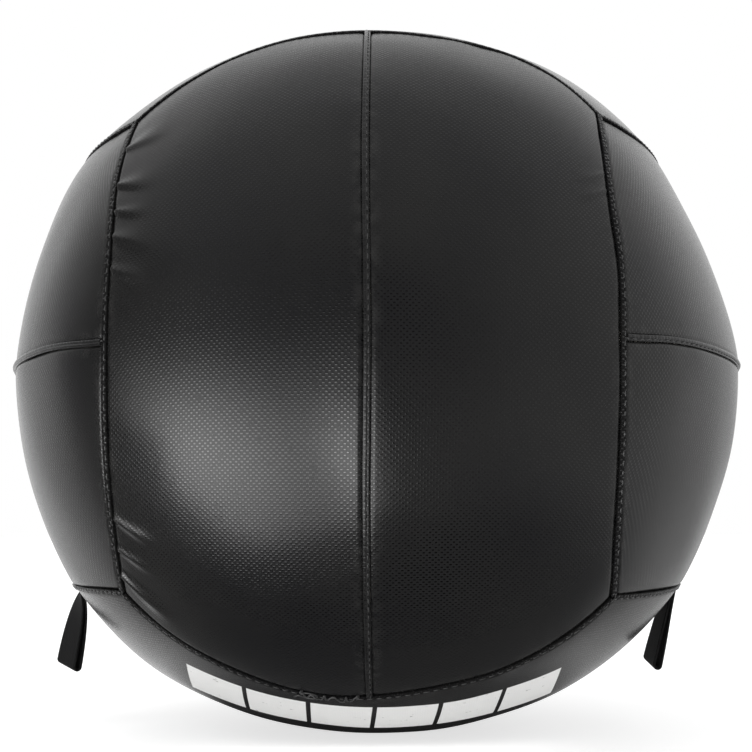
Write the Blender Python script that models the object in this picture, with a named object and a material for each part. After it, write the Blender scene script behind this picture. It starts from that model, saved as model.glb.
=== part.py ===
"""A wall ball: a soft, heavy ball with twelve sewn panels, two hang loops and a weighted core.

The ball stands on a small flat patch. The origin is the middle of that patch, +Z is up and -Y is the front.
The cover is cut as on a cube: each of the six faces is two long strips, side by side.
"""

import math

import bmesh
import bpy
from mathutils import Matrix, Vector

# The ball
BALL_RADIUS = 0.1778  # a 14 inch ball
SETTLE = 0.986  # height over width, because the stuffing sinks a little
SQUARENESS = 0.02  # how much the cube-like cut shows: flatter faces, fuller corners
PANEL_HOLLOW = 0.0018  # how far the middle of a panel lies below a round ball
FLAT_DEPTH = 0.003  # how much of the bottom is pressed flat
FACE_SINK = 0.4 * SQUARENESS  # how far the middle of a face lies inside the radius, as a share
CENTRE_HEIGHT = BALL_RADIUS * (1 - FACE_SINK) * SETTLE - FLAT_DEPTH

# The cut of the cover
CORNER = 1 / math.sqrt(3)  # where three faces meet, on each axis of a unit ball
SEAM_MIDDLE = 0.5716  # how far a face's long side is from its middle plane, half way along
QUARTER = math.radians(45)
PANEL_THICK = 0.0014
PANEL_CELLS = (6, 12)  # across and along a strip
GAP = 0.0003  # between pieces that touch
MEASURE_STEP = 0.002  # a short step over a strip, to measure its margins with

# The welts
WELT_HALF = 0.0013
WELT_CROWN = 0.0012  # how far a welt stands proud
WELT_SHOULDER = 0.0003
WELT_END = 0.0011  # from a welt's end to the corner where three meet
SEAM_GAP = WELT_HALF + GAP  # from a seam's line to the panel's edge

# The foam behind the panels
FOAM_DEPTH = PANEL_THICK + 0.0009
FOAM_THICK = 0.004
FOAM_CELLS = (4, 8)
FOAM_MARGIN = 0.004  # room for the seam allowance

# The hang loops, of folded 19 mm webbing
WEB_WIDTH = 0.019
WEB_THICK = 0.0013
LOOP_LENGTH = 0.0432
LOOP_ROOT = 0.0014  # half of the two layers where they are sewn together
LOOP_RISE = 0.0022  # how far the hinge line is above the skin
LOOP_CLEAR = 0.0035  # from the loop's seam to the end of the base's middle welt
LOOP_EYE = 0.0060  # the widest gap between the layers
LOOP_EYE_START = 0.009  # from the hinge line to the top of the eye
LOOP_LEAN = {"left": math.radians(9.3), "right": math.radians(12.8)}  # both lean to the left
LOOP_SLOT = WEB_WIDTH / 2 + 0.001  # half of the gap that a loop takes up in its welt
TAIL_LENGTH = 0.008
TAIL_THICK = 0.0020  # the two layers, pressed together in the seam

# The closing stitches, on the seam between the front and the base
THREAD_RADIUS = 0.0005
STITCH_COUNT = 9
STITCH_START = -0.40  # along the seam, where -1 and 1 are its ends
STITCH_END = -0.02
STITCH_REACH = 0.0032
STITCH_HEIGHT = WELT_CROWN + THREAD_RADIUS + 2 * GAP
STITCH_FOOT = THREAD_RADIUS + 2 * GAP

# The filling
LINER_DEPTH = 0.0102
LINER_THICK = 0.0008
LINER_TURNS = 20
LINER_RINGS = 10
SLIT_REACH = 2  # the fill slit's half width, in cells of the liner
STUFFING_WIDTH = 0.1620  # radius of the stuffing, level
STUFFING_HEIGHT = 0.1570  # radius of the stuffing, upright
STUFFING_STEPS = 7
POCKET_GAP = 0.003
TURNS = 18
BAG_RADIUS = 0.072
BAG_THICK = 0.0012
NECK_RADIUS = 0.012
NECK_TOP = 0.100
NECK_FLARE = 0.002
NECK_ARC = math.radians(70)  # up from level, where the bag gathers into its neck
TIE_RADIUS = 0.0017
TIE_HEIGHT = 0.082

X, Y, Z = Vector((1, 0, 0)), Vector((0, 1, 0)), Vector((0, 0, 1))

# Each face: its outward direction, the way its strips run, the way from one strip to the other,
# and the names of its two strips.
FACES = {
    "front": (-Y, Z, X, ("left", "right")),
    "back": (Y, Z, X, ("left", "right")),
    "left": (-X, Y, Z, ("lower", "upper")),
    "right": (X, Y, Z, ("lower", "upper")),
    "top": (Z, X, Y, ("front", "back")),
    "base": (-Z, X, Y, ("front", "back")),
}

# Each finish: colour, roughness, metallic.
FINISHES = {
    "vinyl": ((0.030, 0.030, 0.032), 0.42, 0.0),
    "welt": ((0.024, 0.024, 0.025), 0.50, 0.0),
    "webbing": ((0.012, 0.012, 0.012), 0.85, 0.0),
    "thread": ((0.045, 0.045, 0.045), 0.60, 0.0),
    "foam": ((0.090, 0.090, 0.095), 0.90, 0.0),
    "canvas": ((0.550, 0.520, 0.450), 0.90, 0.0),
    "stuffing": ((0.330, 0.350, 0.400), 0.95, 0.0),
    "sacking": ((0.480, 0.420, 0.300), 0.90, 0.0),
    "grit": ((0.200, 0.190, 0.180), 0.60, 0.6),
    "cord": ((0.700, 0.660, 0.560), 0.80, 0.0),
}


def clear_scene():
    for thing in list(bpy.data.objects):
        bpy.data.objects.remove(thing, do_unlink=True)


def paint(piece, finish):
    colour, roughness, metallic = FINISHES[finish]
    material = bpy.data.materials.new(f"{piece.name}_{finish}")
    material.use_nodes = True
    shader = material.node_tree.nodes["Principled BSDF"]
    shader.inputs["Base Color"].default_value = (*colour, 1)
    shader.inputs["Roughness"].default_value = roughness
    shader.inputs["Metallic"].default_value = metallic
    piece.data.materials.append(material)


def add_piece(name, bm, finish, parent=None):
    """Makes a named object of a closed mesh, in world coordinates, and hangs it on its parent."""
    bmesh.ops.recalc_face_normals(bm, faces=bm.faces[:])
    mesh = bpy.data.meshes.new(name)
    if parent is not None:
        bmesh.ops.translate(bm, verts=bm.verts[:], vec=-parent.location)
    bm.to_mesh(mesh)
    bm.free()
    mesh.shade_smooth()
    mesh.set_sharp_from_angle(angle=math.radians(35))
    piece = bpy.data.objects.new(name, mesh)
    bpy.context.scene.collection.objects.link(piece)
    piece.parent = parent
    paint(piece, finish)
    return piece


def add_pivot(name, place):
    """An empty on a joint's axis, which carries the pieces that swing about it."""
    pivot = bpy.data.objects.new(name, None)
    pivot.location = place
    bpy.context.scene.collection.objects.link(pivot)
    return pivot


def seam_offset(t):
    """How far a long side is from its face's middle plane: t is -1 and 1 at its corners."""
    return CORNER - (CORNER - SEAM_MIDDLE) * (1 - t * t)


def long_side(face, half, t):
    """A direction on the outer long side of a strip. half is -1 or 1."""
    out, along, across, _ = FACES[face]
    offset = seam_offset(t)
    reach = math.sqrt(1 - offset * offset)
    turned_out = out * math.cos(QUARTER * t) + along * math.sin(QUARTER * t)
    return turned_out * reach + across * half * offset


def centre_line(face, t):
    """A direction on the seam down the middle of a face."""
    out, along, _, _ = FACES[face]
    turn = math.acos(SEAM_MIDDLE) * t
    return out * math.cos(turn) + along * math.sin(turn)


def short_side(face, half, end, s):
    """A direction on the end of a strip, from the middle of its face, s = 0, to the corner, s = 1."""
    out, along, across, _ = FACES[face]
    offset = seam_offset(s)
    reach = math.sqrt(1 - offset * offset)
    level = along * end * math.cos(QUARTER * s) + across * half * math.sin(QUARTER * s)
    return out * offset + level * reach


def strip_direction(face, half, u, v):
    """A direction inside a strip: u runs from the middle of the face to its side, v from end to end."""
    w = (v + 1) / 2
    sides = centre_line(face, v) * (1 - u) + long_side(face, half, v) * u
    ends = short_side(face, half, -1, u) * (1 - w) + short_side(face, half, 1, u) * w
    low = short_side(face, half, -1, 0) * (1 - u) + short_side(face, half, -1, 1) * u
    high = short_side(face, half, 1, 0) * (1 - u) + short_side(face, half, 1, 1) * u
    return (sides + ends - low * (1 - w) - high * w).normalized()


def skin_point(direction, depth):
    """The point under a direction, at a depth below the round skin. A negative depth is outside it."""
    fourth = sum(value**4 for value in direction)
    radius = BALL_RADIUS * (1 - SQUARENESS * (fourth - 0.6)) - depth
    point = direction * radius
    return Vector((point.x, point.y, point.z * SETTLE + CENTRE_HEIGHT))


def hollow(u, v):
    """How far a stretched panel lies below the round skin."""
    return PANEL_HOLLOW * (1 - (2 * u - 1) ** 2) * (1 - v**4)


def between(start, end, share):
    return start + (end - start) * share


def margin_share(face, half, u, v, step_u, step_v, margin):
    """How much of u or v a margin takes up at the edge of a strip. One of the steps is 0."""
    edge = skin_point(strip_direction(face, half, u, v), 0)
    inside = skin_point(strip_direction(face, half, u + step_u, v + step_v), 0)
    beside = skin_point(strip_direction(face, half, u + step_v, v + step_u), 0)
    seam_way = (beside - edge).normalized()
    return margin * abs(step_u + step_v) / (inside - edge).cross(seam_way).length


def strip_layer(face, half, depth, thick, margin, cells):
    """A closed layer of one strip: a grid, pressed flat on the ground, and thickened inwards."""
    bm = bmesh.new()
    cells_across, cells_along = cells
    step = MEASURE_STEP
    rows = []
    for i in range(cells_across + 1):
        row = []
        for j in range(cells_along + 1):
            u, v = i / cells_across, between(-1, 1, j / cells_along)
            middle_cut = margin_share(face, half, 0, v, step, 0, margin)
            side_cut = margin_share(face, half, 1, v, -step, 0, margin)
            low_cut = margin_share(face, half, u, -1, 0, step, margin)
            high_cut = margin_share(face, half, u, 1, 0, -step, margin)
            u = between(middle_cut, 1 - side_cut, i / cells_across)
            v = between(low_cut - 1, 1 - high_cut, j / cells_along)
            direction = strip_direction(face, half, u, v)
            row.append(bm.verts.new(skin_point(direction, depth + hollow(u, v))))
        rows.append(row)
    for i in range(cells_across):
        for j in range(cells_along):
            bm.faces.new((rows[i][j], rows[i + 1][j], rows[i + 1][j + 1], rows[i][j + 1]))
    if face == "base":
        press_flat(bm, depth)
    thicken(bm, thick)
    return bm


def press_flat(bm, level):
    """Cuts an open sheet along the plane at a height, and flattens what is below it onto that plane."""
    everything = bm.verts[:] + bm.edges[:] + bm.faces[:]
    bmesh.ops.bisect_plane(bm, geom=everything, plane_co=(0, 0, level), plane_no=(0, 0, 1))
    for vert in bm.verts:
        vert.co.z = max(vert.co.z, level)


def thicken(bm, thick):
    """Gives an open sheet its thickness, towards the ball's centre."""
    made = bmesh.ops.extrude_face_region(bm, geom=bm.faces[:], use_keep_orig=True)
    centre = Vector((0, 0, CENTRE_HEIGHT))
    for item in made["geom"]:
        if isinstance(item, bmesh.types.BMVert):
            item.co += (centre - item.co).normalized() * thick


def sweep(line, profile):
    """A closed bar along a line of directions. The profile's points are (sideways, height above the skin)."""
    bm = bmesh.new()
    rings = []
    top = max(height for _, height in profile)
    centre = Vector((0, 0, CENTRE_HEIGHT))
    places = [skin_point(direction, 0) for direction in line]
    for k, place in enumerate(places):
        forward = places[min(k + 1, len(places) - 1)] - places[max(k - 1, 0)]
        upward = (place - centre).normalized()
        sideways = upward.cross(forward).normalized()
        ring = []
        for side, height in profile:
            point = place + sideways * side + upward * height
            point.z = max(point.z, GAP + top - height)
            ring.append(bm.verts.new(point))
        rings.append(ring)
    count = len(profile)
    for first, second in zip(rings, rings[1:]):
        for k in range(count):
            bm.faces.new((first[k], first[(k + 1) % count], second[(k + 1) % count], second[k]))
    bm.faces.new(rings[0])
    bm.faces.new(rings[-1])
    return bm


def welt_profile():
    return [
        (-WELT_HALF, -PANEL_THICK),
        (WELT_HALF, -PANEL_THICK),
        (WELT_HALF, WELT_SHOULDER),
        (WELT_HALF / 2, WELT_CROWN),
        (-WELT_HALF / 2, WELT_CROWN),
        (-WELT_HALF, WELT_SHOULDER),
    ]


def line_of(curve, start, end, count):
    """Directions along a seam, from one share of it to another."""
    return [curve(between(start, end, k / count)) for k in range(count + 1)]


def make_panels():
    for face, (_, _, _, names) in FACES.items():
        for half, side in zip((-1, 1), names):
            panel = strip_layer(face, half, 0, PANEL_THICK, SEAM_GAP, PANEL_CELLS)
            add_piece(f"{face}_{side}_panel", panel, "vinyl")
            foam = strip_layer(face, half, FOAM_DEPTH, FOAM_THICK, FOAM_MARGIN, FOAM_CELLS)
            add_piece(f"{face}_{side}_foam", foam, "foam")


def make_centre_welts():
    half_length = BALL_RADIUS * math.acos(SEAM_MIDDLE)
    for face in FACES:
        cut = LOOP_CLEAR if face == "base" else SEAM_GAP
        end = 1 - cut / half_length
        line = line_of(lambda t: centre_line(face, t), -end, end, PANEL_CELLS[1])
        add_piece(f"{face}_centre_welt", sweep(line, welt_profile()), "welt")


def make_edge_welts():
    half_length = BALL_RADIUS * QUARTER * math.sqrt(1 - SEAM_MIDDLE**2)
    end = 1 - WELT_END / half_length
    slot = LOOP_SLOT / half_length
    for face, (_, _, _, names) in FACES.items():
        for half, side in zip((-1, 1), names):
            if side == "lower":
                stretches = {"_front": (-end, -slot), "_back": (slot, end)}
            else:
                stretches = {"": (-end, end)}
            cells = PANEL_CELLS[1] // len(stretches)
            for part, (start, stop) in stretches.items():
                line = line_of(lambda t: long_side(face, half, t), start, stop, cells)
                add_piece(f"{face}_{side}{part}_welt", sweep(line, welt_profile()), "welt")


def make_closing_stitches():
    """One thread, whipped to and fro over the welt between the front and the base."""
    centre = Vector((0, 0, CENTRE_HEIGHT))
    count = 4 * STITCH_COUNT
    points = []
    for k in range(count + 1):
        share = k / count
        direction = long_side("base", -1, between(STITCH_START, STITCH_END, share))
        place = skin_point(direction, 0)
        upward = (place - centre).normalized()
        sideways = upward.cross(X).normalized()
        swing = math.cos(share * STITCH_COUNT * 2 * math.pi)
        height = between(STITCH_HEIGHT, STITCH_FOOT, abs(swing) ** 1.5)
        points.append(place + sideways * swing * STITCH_REACH + upward * height)
    curve = bpy.data.curves.new("closing_stitches", "CURVE")
    curve.dimensions = "3D"
    curve.bevel_depth = THREAD_RADIUS
    curve.bevel_resolution = 1
    curve.use_fill_caps = True
    spline = curve.splines.new("POLY")
    spline.points.add(len(points) - 1)
    for point, place in zip(spline.points, points):
        point.co = (*place, 1)
    piece = bpy.data.objects.new("closing_stitches", curve)
    bpy.context.scene.collection.objects.link(piece)
    paint(piece, "thread")


def seam_foot(side):
    """The point of the skin where a hang loop comes out, and the outward direction there."""
    place = skin_point(long_side(side, -1, 0), 0)
    return place, (place - Vector((0, 0, CENTRE_HEIGHT))).normalized()


def eye_half_width(s):
    """Half of the gap between the layers, s from 0 at the eye's top to 1 where the fold's round begins."""
    return LOOP_EYE / 2 * math.sin(math.pi / 2 * s) ** 1.3


def loop_outlines():
    """The side view of a loop, hanging straight down from its hinge line: the outer and the inner outline."""
    fold = LOOP_EYE / 2
    fold_start = LOOP_LENGTH - WEB_THICK - fold
    steps = 6
    inner, outer = [], []
    for k in range(1, steps + 1):
        s = k / steps
        down = between(LOOP_EYE_START, fold_start, s)
        inner.append((eye_half_width(s), -down))
        outer.append((max(eye_half_width(s) + WEB_THICK, LOOP_ROOT), -down))
    for k in range(1, steps):
        turn = math.pi / 2 * k / steps
        inner.append((fold * math.cos(turn), -fold_start - fold * math.sin(turn)))
        reach = fold + WEB_THICK
        outer.append((reach * math.cos(turn), -fold_start - reach * math.sin(turn)))
    inner_right = [(0.0, -LOOP_EYE_START)] + inner
    inner_loop = inner_right + [(0.0, -fold_start - fold)] + [(-x, z) for x, z in reversed(inner)]
    root = [
        (LOOP_ROOT * math.sin(turn), LOOP_ROOT * math.cos(turn))
        for turn in (math.radians(30), math.radians(60), math.radians(90))
    ]
    outer_right = root + [(LOOP_ROOT, -LOOP_EYE_START)] + outer
    bottom = [(0.0, -LOOP_LENGTH)]
    outer_loop = [(0.0, LOOP_ROOT)] + outer_right + bottom + [(-x, z) for x, z in reversed(outer_right)]
    return outer_loop, inner_loop


def make_hang_loop(side):
    sign = {"left": -1, "right": 1}[side]
    foot, outward = seam_foot(side)
    hinge = foot + outward * LOOP_RISE
    pivot = add_pivot(f"{side}_loop_pivot", hinge)
    bm = bmesh.new()
    edges = []
    for outline in loop_outlines():
        verts = [bm.verts.new((x, -WEB_WIDTH / 2, z)) for x, z in outline]
        edges += [bm.edges.new((a, b)) for a, b in zip(verts, verts[1:] + verts[:1])]
    bmesh.ops.triangle_fill(bm, use_beauty=True, use_dissolve=False, edges=edges)
    made = bmesh.ops.extrude_face_region(bm, geom=bm.faces[:], use_keep_orig=True)
    moved = [item for item in made["geom"] if isinstance(item, bmesh.types.BMVert)]
    bmesh.ops.translate(bm, verts=moved, vec=(0, WEB_WIDTH, 0))
    lean = Matrix.Rotation(LOOP_LEAN[side], 3, "Y")
    bmesh.ops.rotate(bm, cent=(0, 0, 0), matrix=lean, verts=bm.verts[:])
    bmesh.ops.translate(bm, verts=bm.verts[:], vec=hinge)
    add_piece(f"{side}_hang_loop", bm, "webbing", pivot)

    tail = bmesh.new()
    bmesh.ops.create_cube(tail, size=1)
    top = -GAP
    bmesh.ops.scale(tail, vec=(TAIL_THICK, WEB_WIDTH, TAIL_LENGTH), verts=tail.verts[:])
    bmesh.ops.translate(tail, vec=(0, 0, top - TAIL_LENGTH / 2), verts=tail.verts[:])
    tilt = Matrix.Rotation(sign * math.acos(outward.z), 3, "Y")
    bmesh.ops.rotate(tail, cent=(0, 0, 0), matrix=tilt, verts=tail.verts[:])
    bmesh.ops.translate(tail, vec=foot, verts=tail.verts[:])
    add_piece(f"{side}_loop_tail", tail, "webbing")


def turned(profile):
    """A closed solid turned about the ball's upright axis. The profile's points are (radius, height)."""
    bm = bmesh.new()
    verts = [bm.verts.new((radius, 0, CENTRE_HEIGHT + height)) for radius, height in profile]
    edges = [bm.edges.new((a, b)) for a, b in zip(verts, verts[1:])]
    if profile[0][0] > 0:
        edges.append(bm.edges.new((verts[-1], verts[0])))
    axis_point = (0, 0, CENTRE_HEIGHT)
    bmesh.ops.spin(bm, geom=verts + edges, cent=axis_point, axis=(0, 0, 1), angle=2 * math.pi, steps=TURNS)
    bmesh.ops.remove_doubles(bm, verts=bm.verts[:], dist=0.00001)
    return bm


def arc(width, height, start, end, steps):
    """Points of an ellipse in a profile, between two angles above level."""
    turns = [between(start, end, k / steps) for k in range(steps + 1)]
    return [(width * math.cos(turn), height * math.sin(turn)) for turn in turns]


def make_liner():
    """The cloth bag under the foam, with the slit that it is filled through."""
    bm = bmesh.new()
    bmesh.ops.create_uvsphere(bm, u_segments=LINER_TURNS, v_segments=LINER_RINGS, radius=1)
    for vert in bm.verts:
        direction = vert.co.normalized()
        vert.co = skin_point(direction, LINER_DEPTH)
    slit = skin_point(long_side("base", -1, 0), LINER_DEPTH)
    reach = SLIT_REACH * BALL_RADIUS * 2 * math.pi / LINER_TURNS / 2
    doomed = [f for f in bm.faces if (f.calc_center_median() - slit).length < reach]
    bmesh.ops.delete(bm, geom=doomed, context="FACES")
    press_flat(bm, LINER_DEPTH)
    thicken(bm, LINER_THICK)
    add_piece("liner_bag", bm, "canvas")


def make_stuffing():
    """Shredded cloth, packed in two halves round the weight bag."""
    pocket = BAG_RADIUS + POCKET_GAP
    upright = math.radians(90)
    neck = NECK_RADIUS + 2 * TIE_RADIUS + POCKET_GAP
    roof = NECK_TOP + POCKET_GAP
    for name, sign in (("stuffing_upper", 1), ("stuffing_lower", -1)):
        split = GAP * sign
        outer = arc(STUFFING_WIDTH, STUFFING_HEIGHT, 0, upright, STUFFING_STEPS)
        inner = arc(pocket, pocket, upright, 0, STUFFING_STEPS)
        if sign == 1:
            inner = [(0, roof), (neck, roof), (neck, TIE_HEIGHT - POCKET_GAP)]
            inner += arc(pocket, pocket, NECK_ARC, 0, STUFFING_STEPS)
        outer[-1] = (0, STUFFING_HEIGHT)
        inner[0] = (0, inner[0][1])
        profile = [(r, sign * h + split) for r, h in inner + outer]
        add_piece(name, turned(profile), "stuffing")


def make_weight_bag():
    """The bag of grit at the centre, its filling, and the cord round its neck."""
    low = math.radians(-90)
    shell = arc(BAG_RADIUS, BAG_RADIUS, low, NECK_ARC, STUFFING_STEPS)
    shell[0] = (0, -BAG_RADIUS)
    throat = [
        (NECK_RADIUS, TIE_HEIGHT - 2 * TIE_RADIUS),
        (NECK_RADIUS, TIE_HEIGHT + TIE_RADIUS),
        (NECK_RADIUS + NECK_FLARE, NECK_TOP),
    ]
    inner_radius = BAG_RADIUS - BAG_THICK
    inside = arc(inner_radius, inner_radius, low, NECK_ARC, STUFFING_STEPS)
    inside[0] = (0, -inner_radius)
    mouth = [(radius - BAG_THICK, height) for radius, height in throat]
    add_piece("weight_bag", turned(shell + throat + list(reversed(inside + mouth))), "sacking")

    fill_radius = inner_radius - 2 * GAP
    fill = arc(fill_radius, fill_radius, low, NECK_ARC, STUFFING_STEPS)[:-1]
    fill[0] = (0, -fill_radius)
    crown = (0, fill[-1][1] + fill[-1][0] / 4)
    add_piece("weight_fill", turned(fill + [crown]), "grit")

    reach = NECK_RADIUS + TIE_RADIUS + GAP
    turns = [2 * math.pi * k / 6 for k in range(6)]
    ring = [(reach + TIE_RADIUS * math.cos(a), TIE_HEIGHT + TIE_RADIUS * math.sin(a)) for a in turns]
    add_piece("weight_bag_tie", turned(ring), "cord")


clear_scene()
make_panels()
make_centre_welts()
make_edge_welts()
make_closing_stitches()
make_hang_loop("left")
make_hang_loop("right")
make_liner()
make_stuffing()
make_weight_bag()
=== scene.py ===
"""The looks of a soft wall ball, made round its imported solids.

The ball stands on its flat patch at the origin, with +Z up and its front towards -Y. Sizes are in metres.
"""

import math

import bmesh
import bpy
import numpy as np
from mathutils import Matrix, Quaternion, Vector


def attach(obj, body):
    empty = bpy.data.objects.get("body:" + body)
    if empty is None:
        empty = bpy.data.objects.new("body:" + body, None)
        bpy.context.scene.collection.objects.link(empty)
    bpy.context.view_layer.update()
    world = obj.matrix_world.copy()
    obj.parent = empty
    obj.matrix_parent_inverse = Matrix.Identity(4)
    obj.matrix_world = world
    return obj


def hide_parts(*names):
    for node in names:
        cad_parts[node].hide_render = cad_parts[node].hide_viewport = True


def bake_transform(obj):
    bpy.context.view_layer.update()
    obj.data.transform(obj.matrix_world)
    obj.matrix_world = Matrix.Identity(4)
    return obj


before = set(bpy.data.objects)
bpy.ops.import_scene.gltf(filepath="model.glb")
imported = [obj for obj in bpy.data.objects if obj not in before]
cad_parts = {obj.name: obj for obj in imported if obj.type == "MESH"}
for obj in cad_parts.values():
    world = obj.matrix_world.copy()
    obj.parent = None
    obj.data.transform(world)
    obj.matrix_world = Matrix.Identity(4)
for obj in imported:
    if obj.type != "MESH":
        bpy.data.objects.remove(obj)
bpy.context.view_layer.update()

# The ball, as its solids have it
BALL_RADIUS = 0.1778
SETTLE = 0.986
SQUARENESS = 0.02
PANEL_HOLLOW = 0.0018
FLAT_DEPTH = 0.003
FACE_SINK = 0.4 * SQUARENESS
CENTRE_HEIGHT = BALL_RADIUS * (1 - FACE_SINK) * SETTLE - FLAT_DEPTH
CORNER = 1 / math.sqrt(3)
SEAM_MIDDLE = 0.5716
QUARTER = math.radians(45)
GAP = 0.0003
PANEL_THICK = 0.0014
WELT_HALF = 0.0013
WELT_CROWN = 0.0008
SIDE_CROWN = 0.0002  # the welts between two faces lie lower than those down the middle of a face
WELT_END = 0.0011
SEAM_GAP = WELT_HALF + GAP
SKIN_GAP = WELT_HALF + 0.0001  # the cloth comes closer to its welts than the solids do
LOOP_CLEAR = 0.0035
MEASURE_STEP = 0.002

# The skin of the panels
PANEL_CELLS = (76, 216)
CELL_CROWD = 0.80  # how much the cells crowd towards the seams
ROLL_DEPTH = 0.0005  # the panel rolls down into its seam
ROLL_WIDTH = 0.0020
PULL_DEPTH = 0.0003  # and is drawn in beside it
PULL_REACH = 0.008
SWELL_DEPTH = 0.0002  # slow unevenness of the stuffing under the skin
SWELL_STEP = 0.055
PUCKER_STEP = 0.0125  # from one pucker of a seam to the next
PUCKER_DEPTH = 0.00028
PUCKER_REACH = 0.009
TUCK_ROOT = 0.0015  # how far from the seam a tuck has its full height
GROUND_EASE = 0.0007  # how softly the skin meets the ground
CLOTH_MIDDLE = 0.2  # the place along its own cloth of the middle of each strip
SHARP_ANGLE = math.radians(60)

# How the cover, sewn by hand, sits off its pattern: a way from the centre, and how far and how
# widely the cover is moved there. All are shares of the radius.
NUDGES = (
    ((0, -1, 0), (0.0170, 0, 0), 0.42),
    ((0, -0.8, 0.6), (0.0100, 0, 0), 0.42),
    ((0, -0.8, -0.6), (0.0085, 0, 0), 0.42),
    ((0.58, -0.70, 0.42), (-0.0180, 0, 0), 0.35),
    ((0.58, -0.67, -0.46), (-0.0240, 0, 0), 0.35),
    ((-0.58, -0.58, 0.58), (0.0050, 0, 0.0140), 0.20),
    ((0.40, -0.60, 0.69), (0.0140, 0.0560, 0.0400), 0.20),
    ((-0.58, -0.58, -0.58), (0.0100, -0.0040, 0.0080), 0.25),
    ((-0.13, -0.57, -0.81), (0, 0.0090, -0.0060), 0.15),
    ((0.17, -0.57, -0.80), (0, -0.0084, 0.0060), 0.13),
    ((-0.57, -0.82, 0), (0, 0, -0.0110), 0.13),
    ((-0.57, -0.72, 0.40), (-0.0110, 0, 0), 0.16),
    ((0.57, -0.82, 0), (0, 0, -0.0110), 0.13),
    ((0.57, -0.80, 0.15), (0.0100, 0, 0), 0.12),
    ((-0.22, -0.56, 0.80), (0, 0.0250, 0.0100), 0.25),
)

# Where the filling swells the ball or leaves it slack: a way from the centre, the height, the reach
BULGES = (
    ((0.87, -0.24, -0.44), 0.0030, 0.55),
    ((0.84, -0.37, 0.40), -0.0016, 0.36),
    ((0.97, -0.23, 0.06), 0.0014, 0.25),
    ((0.62, -0.20, 0.76), 0.0020, 0.25),
    ((0.48, -0.20, 0.85), 0.0010, 0.20),
    ((0.20, -0.15, 0.97), -0.0006, 0.25),
    ((-0.80, -0.30, 0.52), 0.0020, 0.20),
    ((-0.93, -0.25, 0.22), -0.0008, 0.20),
    ((-0.85, -0.22, -0.46), 0.0008, 0.35),
    ((-0.57, -0.20, -0.80), 0.0016, 0.25),
    ((0.50, -0.20, -0.85), 0.0014, 0.20),
)

# Tucks of the front's panels at their side seams: from the panel's lower end, how steeply each runs
# down from the seam, its length, its widths below and above its ridge, and how high it stands
TUCKS = {
    "left": (
        (0.0118, 0.00, 0.022, 0.0030, 0.0040, 0.0014),
        (0.0247, -0.34, 0.017, 0.0018, 0.0024, 0.0010),
        (0.0390, -0.35, 0.019, 0.0019, 0.0026, 0.0011),
        (0.1314, -0.60, 0.012, 0.0008, 0.0022, 0.0004),
        (0.1399, -0.65, 0.015, 0.0012, 0.0026, 0.0012),
        (0.1543, -0.70, 0.017, 0.0015, 0.0040, 0.0014),
        (0.1668, -0.80, 0.016, 0.0010, 0.0022, 0.0012),
        (0.1807, -0.80, 0.018, 0.0015, 0.0042, 0.0014),
        (0.2025, -1.10, 0.020, 0.0018, 0.0060, 0.0010),
    ),
    "right": (
        (0.1760, -0.50, 0.014, 0.0010, 0.0022, 0.0006),
        (0.1850, -0.50, 0.013, 0.0010, 0.0022, 0.0005),
    ),
}

# The sewing
WELT_CELLS = (40, 0.0016)  # round a welt, and the length of a cell along it
WELT_STRIP = 0.00020  # the height of the low side of a welt, beside its ridge
WELT_SIZES = {
    "Half Width": WELT_HALF,
    "Strip": WELT_STRIP,
    "Depth": PANEL_THICK,
    "Round": WELT_CELLS[0],
    "Cell": WELT_CELLS[1],
    "Wander": 0.0003,  # how far it strays from its seam, by hand
    "Lumps": 0.00012,
}
STITCH_SIZES = {
    "Pitch": 0.0039,
    "Half Length": 0.00125,
    "Radius": 0.00034,
    "Aside": 0.35 * WELT_HALF,
    "Height": 0.5 * WELT_STRIP,
    "Lowest": 0.0012,  # no stitch is sewn where the cover lies on the ground
    "Seed": 5,
}
SEAM_POINTS = (240, 220)  # on the seam down the middle of a face, and on a side seam

# The hang loops
WEB_WIDTH = 0.019
WEB_THICK = 0.0013
LOOP_LENGTH = 0.0422
LOOP_RISE = 0.0022
LOOP_EYE = 0.0020
LOOP_CELLS = (60, 24)  # down each side of a loop, and across its webbing
LOOP_LEAN = {"left": math.radians(9.3), "right": math.radians(15.0)}
LOOP_TWIST = {"left": math.radians(44), "right": math.radians(14)}
TWIST_EASE = {"left": 0.23, "right": 2.00}  # the share of its length in which a loop turns
LOOP_DIP = {"left": 0.05, "right": 0.12}  # how far the front edge hangs lower, as a slope
LOOP_SLOT = WEB_WIDTH / 2 + 0.001

# The plain blocks printed on the base's front panel
PRINT_REACH = (0.058, 0.0945)  # from the base's middle seam
PRINT_HALF = 0.0855
PRINT_BLOCK = 0.0285
PRINT_SLANT = 0.06
PRINT_ENDS_SOFT = 0.0004
PRINT_SIDES_SOFT = 0.0005

# The closing stitches, between the front and the base
CLOSING_COUNT = 5
CLOSING_START = -0.24  # along the seam, where -1 and 1 are its ends
CLOSING_END = -0.05
CLOSING_REACH = 0.0016
CLOSING_RADIUS = 0.00036
CLOSING_LAY = 0.0016  # in which the thread's twist turns once
CLOSING_TAIL = (  # the loose end of the thread, along the seam and up from it
    (0, 0),
    (0.0035, 0.0004),
    (0.0062, -0.0012),
    (0.0056, -0.0036),
    (0.0022, -0.0040),
    (-0.0014, -0.0026),
    (-0.0036, -0.0046),
)

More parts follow.
